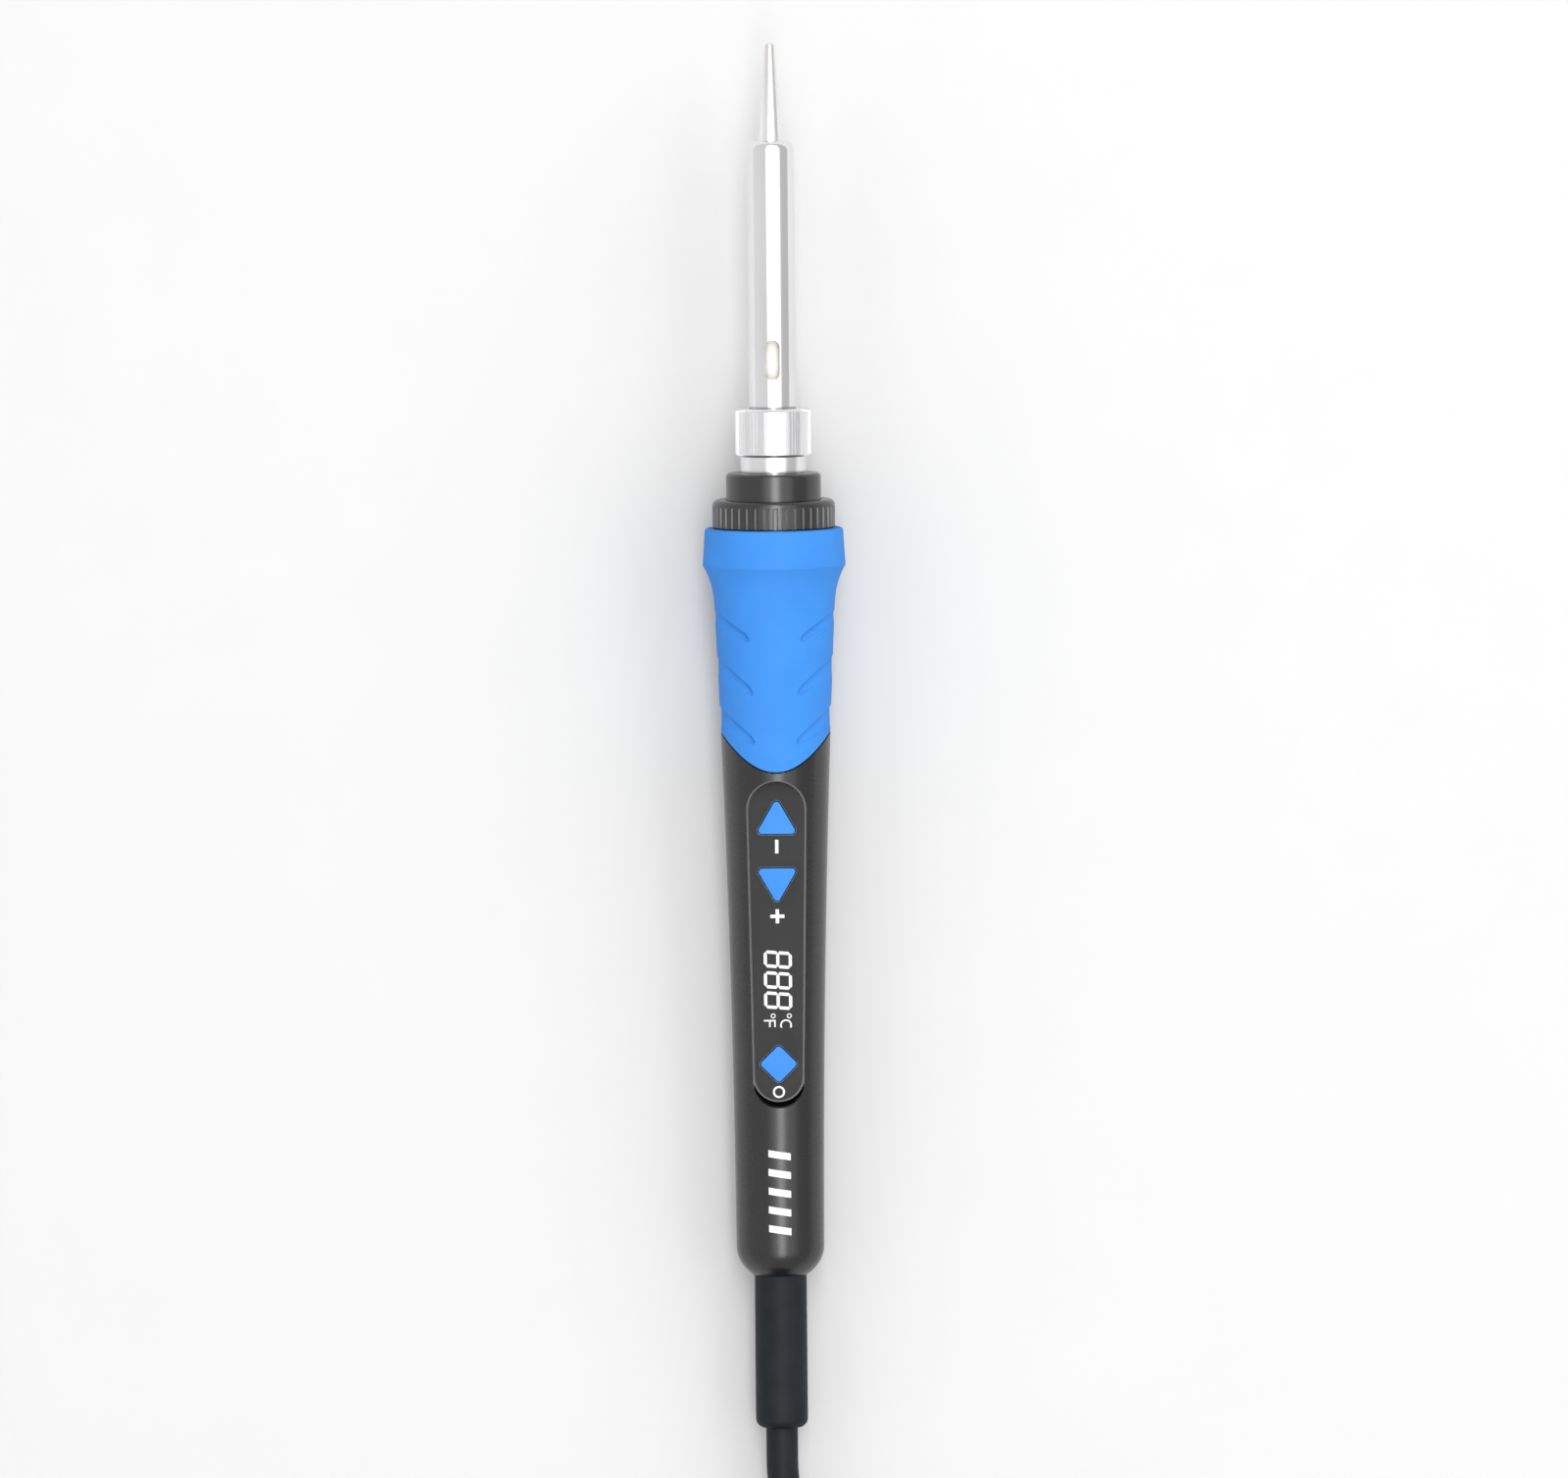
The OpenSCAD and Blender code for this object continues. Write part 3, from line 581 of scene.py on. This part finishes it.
def make_ferrule():
    thread_s, thread_r, pitch, thread_depth = 66.0, 5.25, 0.7, 0.12
    outline = [(65.8, 2.6), (65.8, 5.1)] + [(thread_s + 0.1 * i, thread_r) for i in range(41)]
    outline += [(70.03, 5.5), (70.1, 5.58), (COLLAR_FRONT, 5.58), (COLLAR_FRONT, 4.6), (79.5, 4.6),
                (79.5, 2.6)]

    def threaded(s, r, a):
        if abs(r - thread_r) > 0.05:
            return r
        return r - thread_depth * (0.5 + 0.5 * math.cos(2 * math.pi * s / pitch))

    lathe("ferrule_ring", "ferrule", outline, 128, 0.05, threaded)


def trim(piece, material, wanted):
    """Gives the faces that pass a test another material."""
    piece.data.materials.append(MATERIALS[material])
    for face in piece.data.polygons:
        if wanted(face):
            face.material_index = len(piece.data.materials) - 1


# ---------------------------------------------------------------- collar and ring
COLLAR_FRONT, COLLAR_R, RING_FRONT, RING_R, RING_RIBS = 72.9, 8.08, 77.4, 10.43, 42
RING_MARKS, RIB_DEPTH = (0.36, 0.46, 0.9), 0.26
SHOULDER = 82.15


def make_collar():
    outline = [(COLLAR_FRONT, 4.65)]
    outline += [(s, r) for r, s in arc(COLLAR_R - 0.7, COLLAR_FRONT + 0.7, 0.7, -90, 0, 8)]
    outline += [(79.6, COLLAR_R), (79.6, 9), (80.6, 9), (80.6, 6.8), (91.9, 6.8), (91.9, 4.9),
                (79.6, 4.9), (79.6, 4.65)]
    lathe("heater_collar", "collar", outline, 160, 0.12)


def make_ring():
    round_r = 1.05
    bevel_end, lip_end = RING_FRONT + round_r + 0.1, RING_FRONT + 1.5
    outline = [(RING_FRONT, 8.2), (RING_FRONT, 9.0)]
    outline += [(s, r) for r, s in arc(RING_R - round_r, RING_FRONT + round_r, round_r, -80, 0, 8)]
    outline += [(bevel_end - 0.05, RING_R), (bevel_end + 0.05, RING_R), (SHOULDER - 0.1, RING_R),
                (SHOULDER, RING_R - 0.1), (SHOULDER, 9.95), (87.3, 9.95), (87.3, 9.4),
                (lip_end, 9.4), (lip_end, 8.2)]

    def ribbed(s, r, a):
        depth = RIB_DEPTH * min(1.0, max(0.0, (s - bevel_end) / 0.05))
        floor = RING_R - depth
        return r if r <= floor else floor + (r - floor) * tooth(a, RING_RIBS, RING_MARKS)

    bm = bmesh.new()
    spun(bm, outline, toothed_turns(RING_RIBS, RING_MARKS, 3), ribbed)
    piece = finish_mesh("ribbed_ring", bm, "retaining_ring", 30)
    edge_ease(piece, 0.05, 40)

    def on_flank(face):
        station = (TIP - face.center).dot(FORWARD)
        radial = (face.center - TIP + FORWARD * station).normalized()
        return bevel_end < station / MM < SHOULDER - 0.1 and 0.3 < face.normal.dot(radial) < 0.93

    # the rib flanks take a lighter grey than the ring: painted highlight lines
    trim(piece, "rib_flank_painted_highlight", on_flank)


# ---------------------------------------------------------------- grip
GRIP_FRONT, FLANGE_S, FLANGE_R, SEAT_R = 82.3, 88.6, 12.16, 8.5
TONGUE, CHEEK = 123.4, 117.0
HANDLE_MIN_R, HANDLE_FLARE, DOME_S, DOME_LEN = 7.45, 0.0001965, 204.7, 6.3
GRIP_SINK = 0.03        # the grip lies just under the handle's line
GRIP_GAP = 0.05         # and just clear of the seat inside it
GRIP_SETBACK = 0.12     # its wavy rear edge stops this much short of the handle's
# finger scoops: tip-side edge from the side to its inner end, rear edge likewise, inner end
SCOOPS = (
    (96.4, 100.2, 98.4, 101.6, 4.45),
    (104.0, 109.2, 107.2, 110.7, 3.85),
    (112.1, 117.7, 116.2, 118.9, 3.6),
)
SCOOP_OUTER, SCOOP_END = 9.9, 0.8


def handle_r(s):
    return HANDLE_MIN_R + HANDLE_FLARE * (215 - s) ** 2


def grip_r(s):
    flare = max(0.0, (FLANGE_S + 7.4 - s) / 7.4)
    rise = FLANGE_R - handle_r(FLANGE_S) + GRIP_SINK
    return handle_r(s) - GRIP_SINK + rise * flare ** 2.5


def edge_s(a):
    return CHEEK + (TONGUE - CHEEK) * math.cos(a) ** 2


def smooth(t):
    t = min(1.0, max(0.0, t))
    return t * t * (3 - 2 * t)


def scoop_depth(s, r, a):
    """Depth of the slanted finger scoops, crisp on the tip side and shallow to the rear."""
    x = abs(r * math.sin(a))
    for side_front, inner_front, side_rear, inner_rear, inner_x in SCOOPS:
        inward = max(0.0, (SCOOP_OUTER - x) / (SCOOP_OUTER - inner_x))
        front = side_front + (inner_front - side_front) * inward
        rear = side_rear + (inner_rear - side_rear) * inward
        past_end = (x - inner_x) / SCOOP_END
        if past_end <= 0:
            continue
        if past_end < 1:
            squeeze = math.sqrt(1 - (1 - past_end) ** 2)
            middle, half = (front + rear) / 2, (rear - front) / 2 * squeeze
            front, rear = middle - half, middle + half
        if not front - 0.05 < s < rear + 0.05:
            continue
        wall = smooth((s - front + 0.05) / 0.25)
        back = smooth((rear + 0.05 - s) / 0.3)
        across = (s - front) / max(0.1, rear - front)
        deep = 0.2 + 0.65 * min(1.0, 2.5 * inward)
        return deep * wall * back * (1 - 0.72 * min(1.0, max(0.0, across)))
    return 0.0


def make_grip():
    turns = circle_turns(320)
    inner_r = SEAT_R + GRIP_GAP
    front = [(GRIP_FRONT + 5.9, inner_r), (GRIP_FRONT + 5.9, 10.2), (GRIP_FRONT, 10.2)]
    rim_r = FLANGE_R - 0.38
    rim = [(s, r) for r, s in arc(rim_r - 0.5, GRIP_FRONT + 0.5, 0.5, -90, 0, 5)]
    flange = [(GRIP_FRONT + 0.5 + i * 0.965, rim_r + i * 0.06) for i in range(1, 6)]
    crease = [(FLANGE_S - 0.12, FLANGE_R - 0.02), (FLANGE_S + 0.1, FLANGE_R - 0.05)]
    neck = [(FLANGE_S + 0.25 * i, grip_r(FLANGE_S + 0.25 * i)) for i in range(1, 24)]
    body_start = FLANGE_S + 6
    rows = 240
    bm = bmesh.new()

    def vert(s, r, a):
        return bm.verts.new(at(r * math.sin(a), r * math.cos(a), s))

    def body_vert(share, a):
        s = body_start + (edge_s(a) - GRIP_SETBACK - body_start) * share
        r = grip_r(s)
        return vert(s, r - scoop_depth(s, r, a), a)

    def edge_vert(past, drop, a):
        s = edge_s(a) - GRIP_SETBACK + past
        return vert(s, grip_r(s) - drop, a)

    rings = [[vert(s, r, a) for a in turns] for s, r in front + rim + flange + crease + neck]
    rings += [[body_vert(i / rows, a) for a in turns] for i in range(rows + 1)]
    for past, drop in ((0.06, 0.04), (0.1, 0.12), (0.11, 0.45)):
        rings.append([edge_vert(past, drop, a) for a in turns])
    rings.append([vert(edge_s(a), inner_r, a) for a in turns])
    skin_rings(bm, rings)
    finish_mesh("grip_sleeve", bm, "grip", 50)


# ---------------------------------------------------------------- handle
WALL, CORE_R, THREAD_R, THREAD_S, SEAT_S = 1.6, 6.9, 9.3, 80.7, 88.0
RELIEF_HOLE = 4.5
SHELL_SCREWS = (126.5, 187.6)
PILL_FRONT_S, PILL_REAR_S, FRONT_ARC, REAR_ARC = 130.1, 175.35, 4.88, 4.12
POCKET_GAP, POCKET_REAR, POCKET_DEPTH, SLOT_DEPTH = 0.25, 0.95, 1.0, 1.7
# each button's corners, their distance from its middle, the way it points and its place
BUTTONS = {
    "minus": (3, 2.887, 90, -0.9),
    "plus": (3, 2.887, -90, -10.85),
    "set": (4, 2.4, 0, -42.2),
}
BUTTON_CORNER, BUTTON_GAP = 0.6, 0.18
KEY_PROUD = 0.45    # how far a button cap stands out of the panel
WINDOW_SIDE, WINDOW_FRONT, WINDOW_REAR = 3.75, -21.8, -37.7
# boxes on the panel that pick out faces, for the painted shadow in the rear slot and the painted
# highlight round the button holes: across, ahead and above its plane
SLOT_ZONE = ((-4.4, 4.4), (-50, -45.5), (-1.8, -1.06))
HOLE_ZONE = ((-3.6, 3.6), (-45.5, 3.4), (-5, 5))


def button_outline(kind, grow=0.0):
    """Rounded outline of a button on the panel, anticlockwise, in panel millimetres."""
    count, reach, turn, v = BUTTONS[kind]
    made = []
    for i in range(count):
        a = turn + 360 * i / count
        cx, cy = reach * math.cos(math.radians(a)), v + reach * math.sin(math.radians(a))
        made += arc(cx, cy, BUTTON_CORNER + grow, a - 180 / count, a + 180 / count, 10)
    return made


def pill_outline(grow=0.0, front=0.0, rear=0.0):
    top, low = PANEL_S - PILL_FRONT_S - front, PANEL_S - PILL_REAR_S - rear
    return arc(0, top, FRONT_ARC + grow, 0, 180, 40) + arc(0, low, REAR_ARC + grow, 180, 360, 40)


def crescent_outline():
    """The slot between the panel's rear end and the end of its pocket."""
    slot_w = 0.85
    low, r = PANEL_S - PILL_REAR_S - POCKET_REAR, REAR_ARC + POCKET_GAP - 0.01
    return arc(0, low, r, 195, 345, 30) + arc(0, low + slot_w, r, 345, 195, 30)


def handle_outline():
    """Outside of the shells from their front thread to the dome, as (s, r)."""
    thread = [(THREAD_S, THREAD_R - 0.3), (THREAD_S + 0.3, THREAD_R)]
    thread += [(THREAD_S + 0.3 + 0.125 * i, THREAD_R) for i in range(1, 54)]
    seat = [(SEAT_S, THREAD_R), (SEAT_S, SEAT_R), (CHEEK - 0.6, SEAT_R)]
    body = [(s, handle_r(s)) for s in [CHEEK + 0.2 * i for i in range(34)]]
    body += [(s, handle_r(s)) for s in [CHEEK + 6.8 + 1.5 * i for i in range(54)]]
    end_r = handle_r(DOME_S)
    dome = [(DOME_S + DOME_LEN * math.sin(math.radians(a)), end_r * math.cos(math.radians(a)))
            for a in range(2, 53, 2)]
    last = DOME_S + DOME_LEN * math.sqrt(1 - (RELIEF_HOLE / end_r) ** 2)
    return thread + seat + body + dome + [(last, RELIEF_HOLE)]


def shell_half(name, node, side):
    """One half of the handle: skin outside, plain cavity inside, eased at the seam."""
    thread_depth, thread_pitch, seam_depth = 0.3, 1.5, 0.07
    inside = [(206, RELIEF_HOLE), (206, 5.5), (DOME_S, 5.7)]
    inside += [(s, handle_r(s) - WALL) for s in range(200, 120, -4)]
    inside += [(CHEEK, CORE_R), (THREAD_S, CORE_R)]
    start = -90 if side > 0 else 90
    seam = 0.6
    steps = [0, seam / 2, seam] + [seam + (180 - 2 * seam) * i / 120 for i in range(1, 120)]
    steps += [180 - seam, 180 - seam / 2, 180]
    turns = [math.radians(start + step) for step in steps]

    def skin(s, r, a):
        if r < CORE_R + 0.4 and s < CHEEK:
            return r
        if s >= CHEEK - 0.01 and s < edge_s(a) + 0.06 and r > SEAT_R:
            r = SEAT_R
        if r == THREAD_R and THREAD_S + 0.3 < s < SEAT_S:
            turn = s / thread_pitch - a / (2 * math.pi)
            r -= thread_depth * (0.5 + 0.5 * math.cos(2 * math.pi * turn))
        from_seam = min(a - turns[0], turns[-1] - a)
        if from_seam < math.radians(seam) and abs(r - outside(s)) < 0.02:
            r -= seam_depth * (1 - from_seam / math.radians(seam))
        return r

    def outside(s):
        if s > DOME_S:
            return handle_r(DOME_S) * math.sqrt(max(0.0, 1 - ((s - DOME_S) / DOME_LEN) ** 2))
        return handle_r(s)

    bm = bmesh.new()
    spun(bm, handle_outline() + inside, turns, skin)
    return finish_mesh(name, bm, node, 30)


def round_outline(x, v, r, steps=32):
    return arc(x, v, r, 0, 360 - 360 / steps, steps - 1)


def panel_block(outline, low_depth, high_depth):
    """A loose prism square to the panel, between two depths below its plane."""
    return prism_cutter(outline, lambda x, v: on_panel(x, v, low_depth),
                        lambda x, v: on_panel(x, v, high_depth))


def in_zone(face, zone):
    """Whether a face's middle lies in a box set out in panel millimetres."""
    place = (PANEL_FRAME.inverted() @ face.center) / MM
    return all(low < value < high for value, (low, high) in zip(place, zone))


def make_handle():
    upper = shell_half("handle_upper", "upper_shell", 1)
    bed_depth, bed_top, well_depth = 2.2, 1.05, 3.5
    combine(upper, [panel_block(pill_outline(0.6, 0.2, 1.5), bed_depth, bed_top)], "UNION")
    pocket = pill_outline(POCKET_GAP, -POCKET_GAP, POCKET_REAR)
    window = [(-WINDOW_SIDE, WINDOW_FRONT), (WINDOW_SIDE, WINDOW_FRONT), (WINDOW_SIDE, WINDOW_REAR),
              (-WINDOW_SIDE, WINDOW_REAR)]
    wells = [button_outline(kind, BUTTON_GAP) for kind in BUTTONS] + [window]
    cutters = [panel_block(pocket, POCKET_DEPTH, -3), panel_block(crescent_outline(), SLOT_DEPTH, 0.5)]
    combine(upper, cutters + [panel_block(well, well_depth, 0) for well in wells])
    edge_ease(upper, 0.1, 40)
    # the floor of the slot behind the panel is painted near-black and matt: painted shadow
    trim(upper, "slot_painted_shadow", lambda face: in_zone(face, SLOT_ZONE))
    lower = shell_half("handle_lower", "lower_shell", -1)
    head_r, outside, head_seat = 2.0, -12, -5.6
    combine(lower, [prism_cutter(round_outline(0, s, head_r), lambda x, t: at(x, outside, t),
                                 lambda x, t: at(x, head_seat, t)) for s in SHELL_SCREWS])
    edge_ease(lower, 0.12, 40)


# ---------------------------------------------------------------- panel and buttons
def make_panel():
    plate_t, key_depth = 0.9, 2.9
    holes = [list(reversed(button_outline(kind, BUTTON_GAP))) for kind in BUTTONS]
    cover = plate("panel_plate", "panel_cover", [pill_outline()] + holes, -plate_t, 0, 0.14,
                  PANEL_FRAME)
    outward = PANEL_FRAME.col[2].to_3d()

    def eased_edge(face):
        return 0.1 < abs(face.normal.dot(outward)) < 0.95

    # the plate's eased edges take a lighter grey: a painted highlight line
    trim(cover, "panel_edge_painted_highlight", eased_edge)
    # the eased edges round the button holes take a paler grey still: painted highlight
    trim(cover, "hole_edge_painted_highlight", lambda face: eased_edge(face) and in_zone(face, HOLE_ZONE))
    for kind in BUTTONS:
        plate("key_" + kind, "button_" + kind, [button_outline(kind)], -key_depth, KEY_PROUD, 0.1,
              PANEL_FRAME)


# ---------------------------------------------------------------- strain relief and cord
RELIEF_R, TOOL_LEN, CORD_R, CORD_GAP = 4.43, 235.9, 2.7, 0.08


def make_relief():
    lip_front, lip_rear, lip_r, round_r, bore = 202.8, 204.6, 5.3, 1.6, CORD_R + CORD_GAP
    outline = [(lip_front, bore), (lip_front, lip_r), (lip_rear, lip_r), (lip_rear, RELIEF_R)]
    outline += [(s, r) for r, s in arc(RELIEF_R - round_r, TOOL_LEN - round_r, round_r, 0, 82, 8)]
    outline += [(TOOL_LEN, 2.95), (TOOL_LEN - 0.3, bore)]
    lathe("cord_sleeve", "strain_relief", outline, 96, 0.08)


HANK_Y, HANK_RUN, CORD_D = -163, 72, 5.4
INNER, OUTER = 3 * CORD_D, 4 * CORD_D
PLUG_Y, PLUG_LEN, PLUG_T, PIN_R, PIN_PITCH = -220.5, 31, 13.7, 2.0, 18.6
PLUG_Z = 3 * CORD_D + PLUG_T / 2
LEAD_STRAIGHT = 6
FALL_RUN, TAIL_RUN = 37, 37     # level run in which the cord falls, and rises to the plug


def gentle(t):
    """0 to 1 and level at both ends."""
    return 0.5 - 0.5 * math.cos(math.pi * min(1.0, max(0.0, t)))


def s_bend(u, across, along):
    """Sideways step of a double bend of two equal arcs, u along it from 0 to along."""
    half = along / 2
    r = ((across / 2) ** 2 + half * half) / across
    if u < half:
        return r - math.sqrt(r * r - max(u, 0) ** 2)
    return across - r + math.sqrt(r * r - (along - u) ** 2)


def layer_z(k):
    return CORD_D * (k + 0.5)


def lead_route():
    """Out of the strain relief, down to the bench and sideways into the outer turn."""
    start = at(0, 0, TOOL_LEN) / MM
    along = start.y - HANK_Y
    fall = FORWARD.z / FORWARD.y
    inside, steps = 6, 36
    made = []
    for i in range(-inside, steps + 1):
        u = along * i / steps
        z = start.z - min(u, 0) * fall - (start.z - layer_z(0)) * gentle(u / FALL_RUN)
        made.append((s_bend(u - LEAD_STRAIGHT, OUTER, along - LEAD_STRAIGHT), start.y - u, z))
    return made


def tail_route():
    """From the near end of the top turn down the middle to the plug."""
    steps = 30
    made = []
    for i in range(1, steps + 1):
        u = TAIL_RUN * i / steps
        z = layer_z(3) + (PLUG_Z - layer_z(3)) * gentle(u / TAIL_RUN)
        made.append((INNER - s_bend(u, INNER, TAIL_RUN), HANK_Y - u, z))
    return made + [(0, -210, PLUG_Z), (0, PLUG_Y + 1.5, PLUG_Z)]


def spot(ring, layer):
    """Radius and height of the cord, from its ring counted inwards and its layer."""
    return OUTER - ring * CORD_D, layer_z(layer)


def end_bend(run, ring, layer):
    """Half a circle round the hank's far or near end."""
    radius, z = spot(ring, layer)
    sign, y = (1, HANK_Y - HANK_RUN) if run == "far" else (-1, HANK_Y)
    turns = [math.pi * i / 12 for i in range(13)]
    return [(sign * radius * math.cos(a), y - sign * radius * math.sin(a), z) for a in turns]


def straight_run(run, ring, layer, shifts):
    """One side of a turn, with the shifts that fall on it."""
    points, steps = [], 24
    for step in range(1, steps):
        along = HANK_RUN * step / steps
        now_ring, now_layer = ring, layer
        for low, high, by_ring, by_layer in shifts:
            part = gentle((along - low) / (high - low))
            now_ring += by_ring * part
            now_layer += by_layer * part
        radius, z = spot(now_ring, now_layer)
        if run == "right":
            points.append((radius, HANK_Y - along, z))
        else:
            points.append((-radius, HANK_Y - HANK_RUN + along, z))
    return points


# where the cord shifts, turn by turn and side by side: millimetres along the side where
# the shift starts and ends, rings moved inwards and layers moved up
HANK_SHIFTS = (
    {"left": [(47, 72, 1, 0)]},
    {"left": [(22, 47, 0, 1)]},
    {"right": [(47, 72, -1, 0)]},
    {"right": [(20, 45, 0, 1)], "left": [(47, 72, 1, 0)]},
    {"left": [(22, 47, 0, 1)]},
)


def hank_turns():
    """The hank's five turns.

    A turn goes down the right run, round the far end, up the left run and round the near
    end. Each shift ends before the next turn's starts, so the turns stay a diameter apart.
    """
    ring, layer, points = 0.0, 0.0, []
    for shifts in HANK_SHIFTS:
        for run in ("right", "far", "left", "near"):
            if run in ("far", "near"):
                points += end_bend(run, ring, layer)
                continue
            here = shifts.get(run, [])
            points += straight_run(run, ring, layer, here)
            ring += sum(shift[2] for shift in here)
            layer += sum(shift[3] for shift in here)
    return points


def make_cord():
    closest = 0.4
    line = [Vector(p) for p in lead_route() + hank_turns() + tail_route()]
    clean = [line[0]]
    for point in line[1:]:
        if (point - clean[-1]).length > closest:
            clean.append(point)
    curve = bpy.data.curves.new("mains_cord", "CURVE")
    curve.dimensions = "3D"
    spline = curve.splines.new("POLY")
    spline.points.add(len(clean) - 1)
    for point, place in zip(spline.points, clean):
        point.co = (*(place * MM), 1)
    curve.bevel_depth, curve.bevel_resolution, curve.use_fill_caps = CORD_R * MM, 6, True
    cord = bpy.data.objects.new("mains_cord", curve)
    scene.collection.objects.link(cord)
    curve.materials.append(MATERIALS["cord_jacket"])
    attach(cord, "handle")
    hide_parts("cord", "cord_hank", "cord_tail")
    return cord


TIE_Y, TIE_W, TIE_T = -219.5, 6.0, 0.7


def make_tie():
    """A strap round the hank's middle, with a small buckle on top."""
    half, height, turn = OUTER + CORD_R, 3 * CORD_D, 2.4
    corners = [(half - turn, TIE_T + turn, -90), (half - turn, height - turn, 0),
               (-half + turn, height - turn, 90), (-half + turn, TIE_T + turn, 180)]
    path = []
    for cx, cz, start in corners:
        for i in range(9):
            a = math.radians(start + 90 * i / 8)
            path.append((cx, cz, math.cos(a), math.sin(a), turn))
    section = eased([(0, 0), (TIE_T, 0), (TIE_T, TIE_W), (0, TIE_W)], 0.2)
    bm = bmesh.new()
    rings = []
    for cx, cz, nx, nz, r in path:
        rings.append([bm.verts.new(Vector(((cx + nx * (r + out)), TIE_Y + w, cz + nz * (r + out))) * MM)
                      for out, w in section])
    skin_rings(bm, rings)
    left, right, top, buckle_h, sunk = 8, 13, height + TIE_T, 2.9, 0.05
    buckle = eased([(left, TIE_Y), (right, TIE_Y), (right, TIE_Y + TIE_W), (left, TIE_Y + TIE_W)], 0.8)
    prism(bm, buckle, lambda x, y: Vector((x, y, top - sunk)) * MM,
          lambda x, y: Vector((x, y, top + buckle_h)) * MM)
    piece = finish_mesh("hank_tie", bm, "cord_tie", 40)
    edge_ease(piece, 0.15, 50)
    return piece


# ---------------------------------------------------------------- plug
def plug_place(r, a, s):
    return Vector((r * math.sin(a), PLUG_Y - s, PLUG_Z + r * math.cos(a))) * MM


def make_plug():
    run, small_r, growth, ribs, pitch, groove = 20, 3.3, 1.7, 6, 3, 0.7
    sleeve = [(-run, CORD_R + CORD_GAP), (-run, small_r)]
    for i in range(ribs):
        s = -18.6 + pitch * i
        r = small_r + growth * (s + run) / run
        sleeve += [(s, r), (s + 0.2, r - groove), (s + 1.0, r - groove), (s + 1.2, r + 0.05)]
    sleeve += [(-0.5, 5.1), (0.0, 5.1), (0.0, CORD_R + CORD_GAP)]
    bm = bmesh.new()
    spun(bm, eased(sleeve, 0.15), circle_turns(64), to_world=plug_place)
    relief = finish_mesh("plug_sleeve", bm, "plug_relief")
    outline = eased([(-6, 0), (6, 0), (15.2, 12.6), (17.6, 21.8), (17.6, PLUG_LEN),
                     (-17.6, PLUG_LEN), (-17.6, 21.8), (-15.2, 12.6)], 2.0, 5)
    lying = Matrix.Translation(Vector((0, PLUG_Y, PLUG_Z)) * MM)
    body = plate("plug_shell", "plug_body", [[(x, -y) for x, y in reversed(outline)]],
                 -PLUG_T / 2, PLUG_T / 2, 1.6, lying)
    bm = bmesh.new()
    for side in (-1, 1):
        def beside(r, a, s, side=side):
            return plug_place(r, a, s) + Vector((side * PIN_PITCH / 2, 0, 0)) * MM

        spun(bm, [(PLUG_LEN, 0), (PLUG_LEN, PIN_R), (PLUG_LEN + 17.6, PIN_R),
                  (PLUG_LEN + 18.4, 1.7), (PLUG_LEN + 19, 0.9), (PLUG_LEN + 19, 0)],
             circle_turns(48), to_world=beside)
    pins = finish_mesh("plug_prongs", bm, "plug_pins")
    return [relief, body, pins]


# ---------------------------------------------------------------- stage and light
def make_floor():
    """A sheet of pale paper with a very faint cloud of tone, its top at height 0."""
    size, thick, tone, cloud = 3.0, 0.02, 0.455, 0.002
    floor = prism_cutter([(-size, -size), (size, -size), (size, size), (-size, size)],
                         lambda x, y: Vector((x, y, -thick)), lambda x, y: Vector((x, y, 0)))
    floor.name = floor.data.name = "floor"
    made = Nodes("floor_paper", (tone, tone, tone), 0.8)
    made.put("Specular IOR Level", 0.2)
    made.join(made.ramp(made.grain(60), [tone - cloud] * 3, [tone + cloud] * 3),
              made.shader.inputs["Base Color"])
    floor.data.materials.append(made.material)


def panel_light(name, place, width, length, radiance):
    """A rectangle of light of a given radiance, facing straight down."""
    data = bpy.data.lights.new(name, "AREA")
    data.shape, data.size, data.size_y = "RECTANGLE", width, length
    data.energy = radiance * math.pi * width * length
    light = bpy.data.objects.new(name, data)
    scene.collection.objects.link(light)
    light.location = place
    return light


def side_light(name, x, radiance):
    """A panel to one side, for the broad shading beside the iron; not mirrored in it."""
    height = 1.24
    light = panel_light(name, (x, 0.5, height), 1.6, 3.2, radiance)
    light.rotation_euler = (0, math.atan2(x, height), 0)
    light.visible_glossy = False


def make_light():
    """A white room, brighter on the left, a softbox with a hot middle and two side panels."""
    left_strength, right_strength = 0.82, 0.57
    world = bpy.data.worlds.new("studio")
    world.use_nodes = True
    tree = world.node_tree
    back = tree.nodes["Background"]
    back.inputs["Color"].default_value = (1, 1, 1, 1)
    where = tree.nodes.new("ShaderNodeTexCoord")
    split = tree.nodes.new("ShaderNodeSeparateXYZ")
    side = tree.nodes.new("ShaderNodeMapRange")
    tree.links.new(where.outputs["Generated"], split.inputs["Vector"])
    tree.links.new(split.outputs["X"], side.inputs["Value"])
    side.inputs["From Min"].default_value = -1
    side.inputs["To Min"].default_value = left_strength
    side.inputs["To Max"].default_value = right_strength
    tree.links.new(side.outputs["Result"], back.inputs["Strength"])
    scene.world = world
    panel_light("overhead", (0.34, 0.75, 1.2), 1.7, 3.6, 0.85)
    panel_light("overhead_middle", (0.09, 0.75, 1.18), 0.34, 3.4, 4.6)
    side_light("right_side", 1.8, 2.3)
    side_light("left_side", -1.8, 1.4)
    scene.view_settings.view_transform = "Standard"


# ---------------------------------------------------------------- build
make_camera()
cord_piece = make_cord()
tie_piece = make_tie()
plug_pieces = make_plug()
dress_cad_nodes()
make_tip()
make_barrel()
make_nut()
make_ferrule()
make_collar()
make_ring()
make_grip()
make_handle()
make_panel()
make_relief()
make_floor()
make_light()
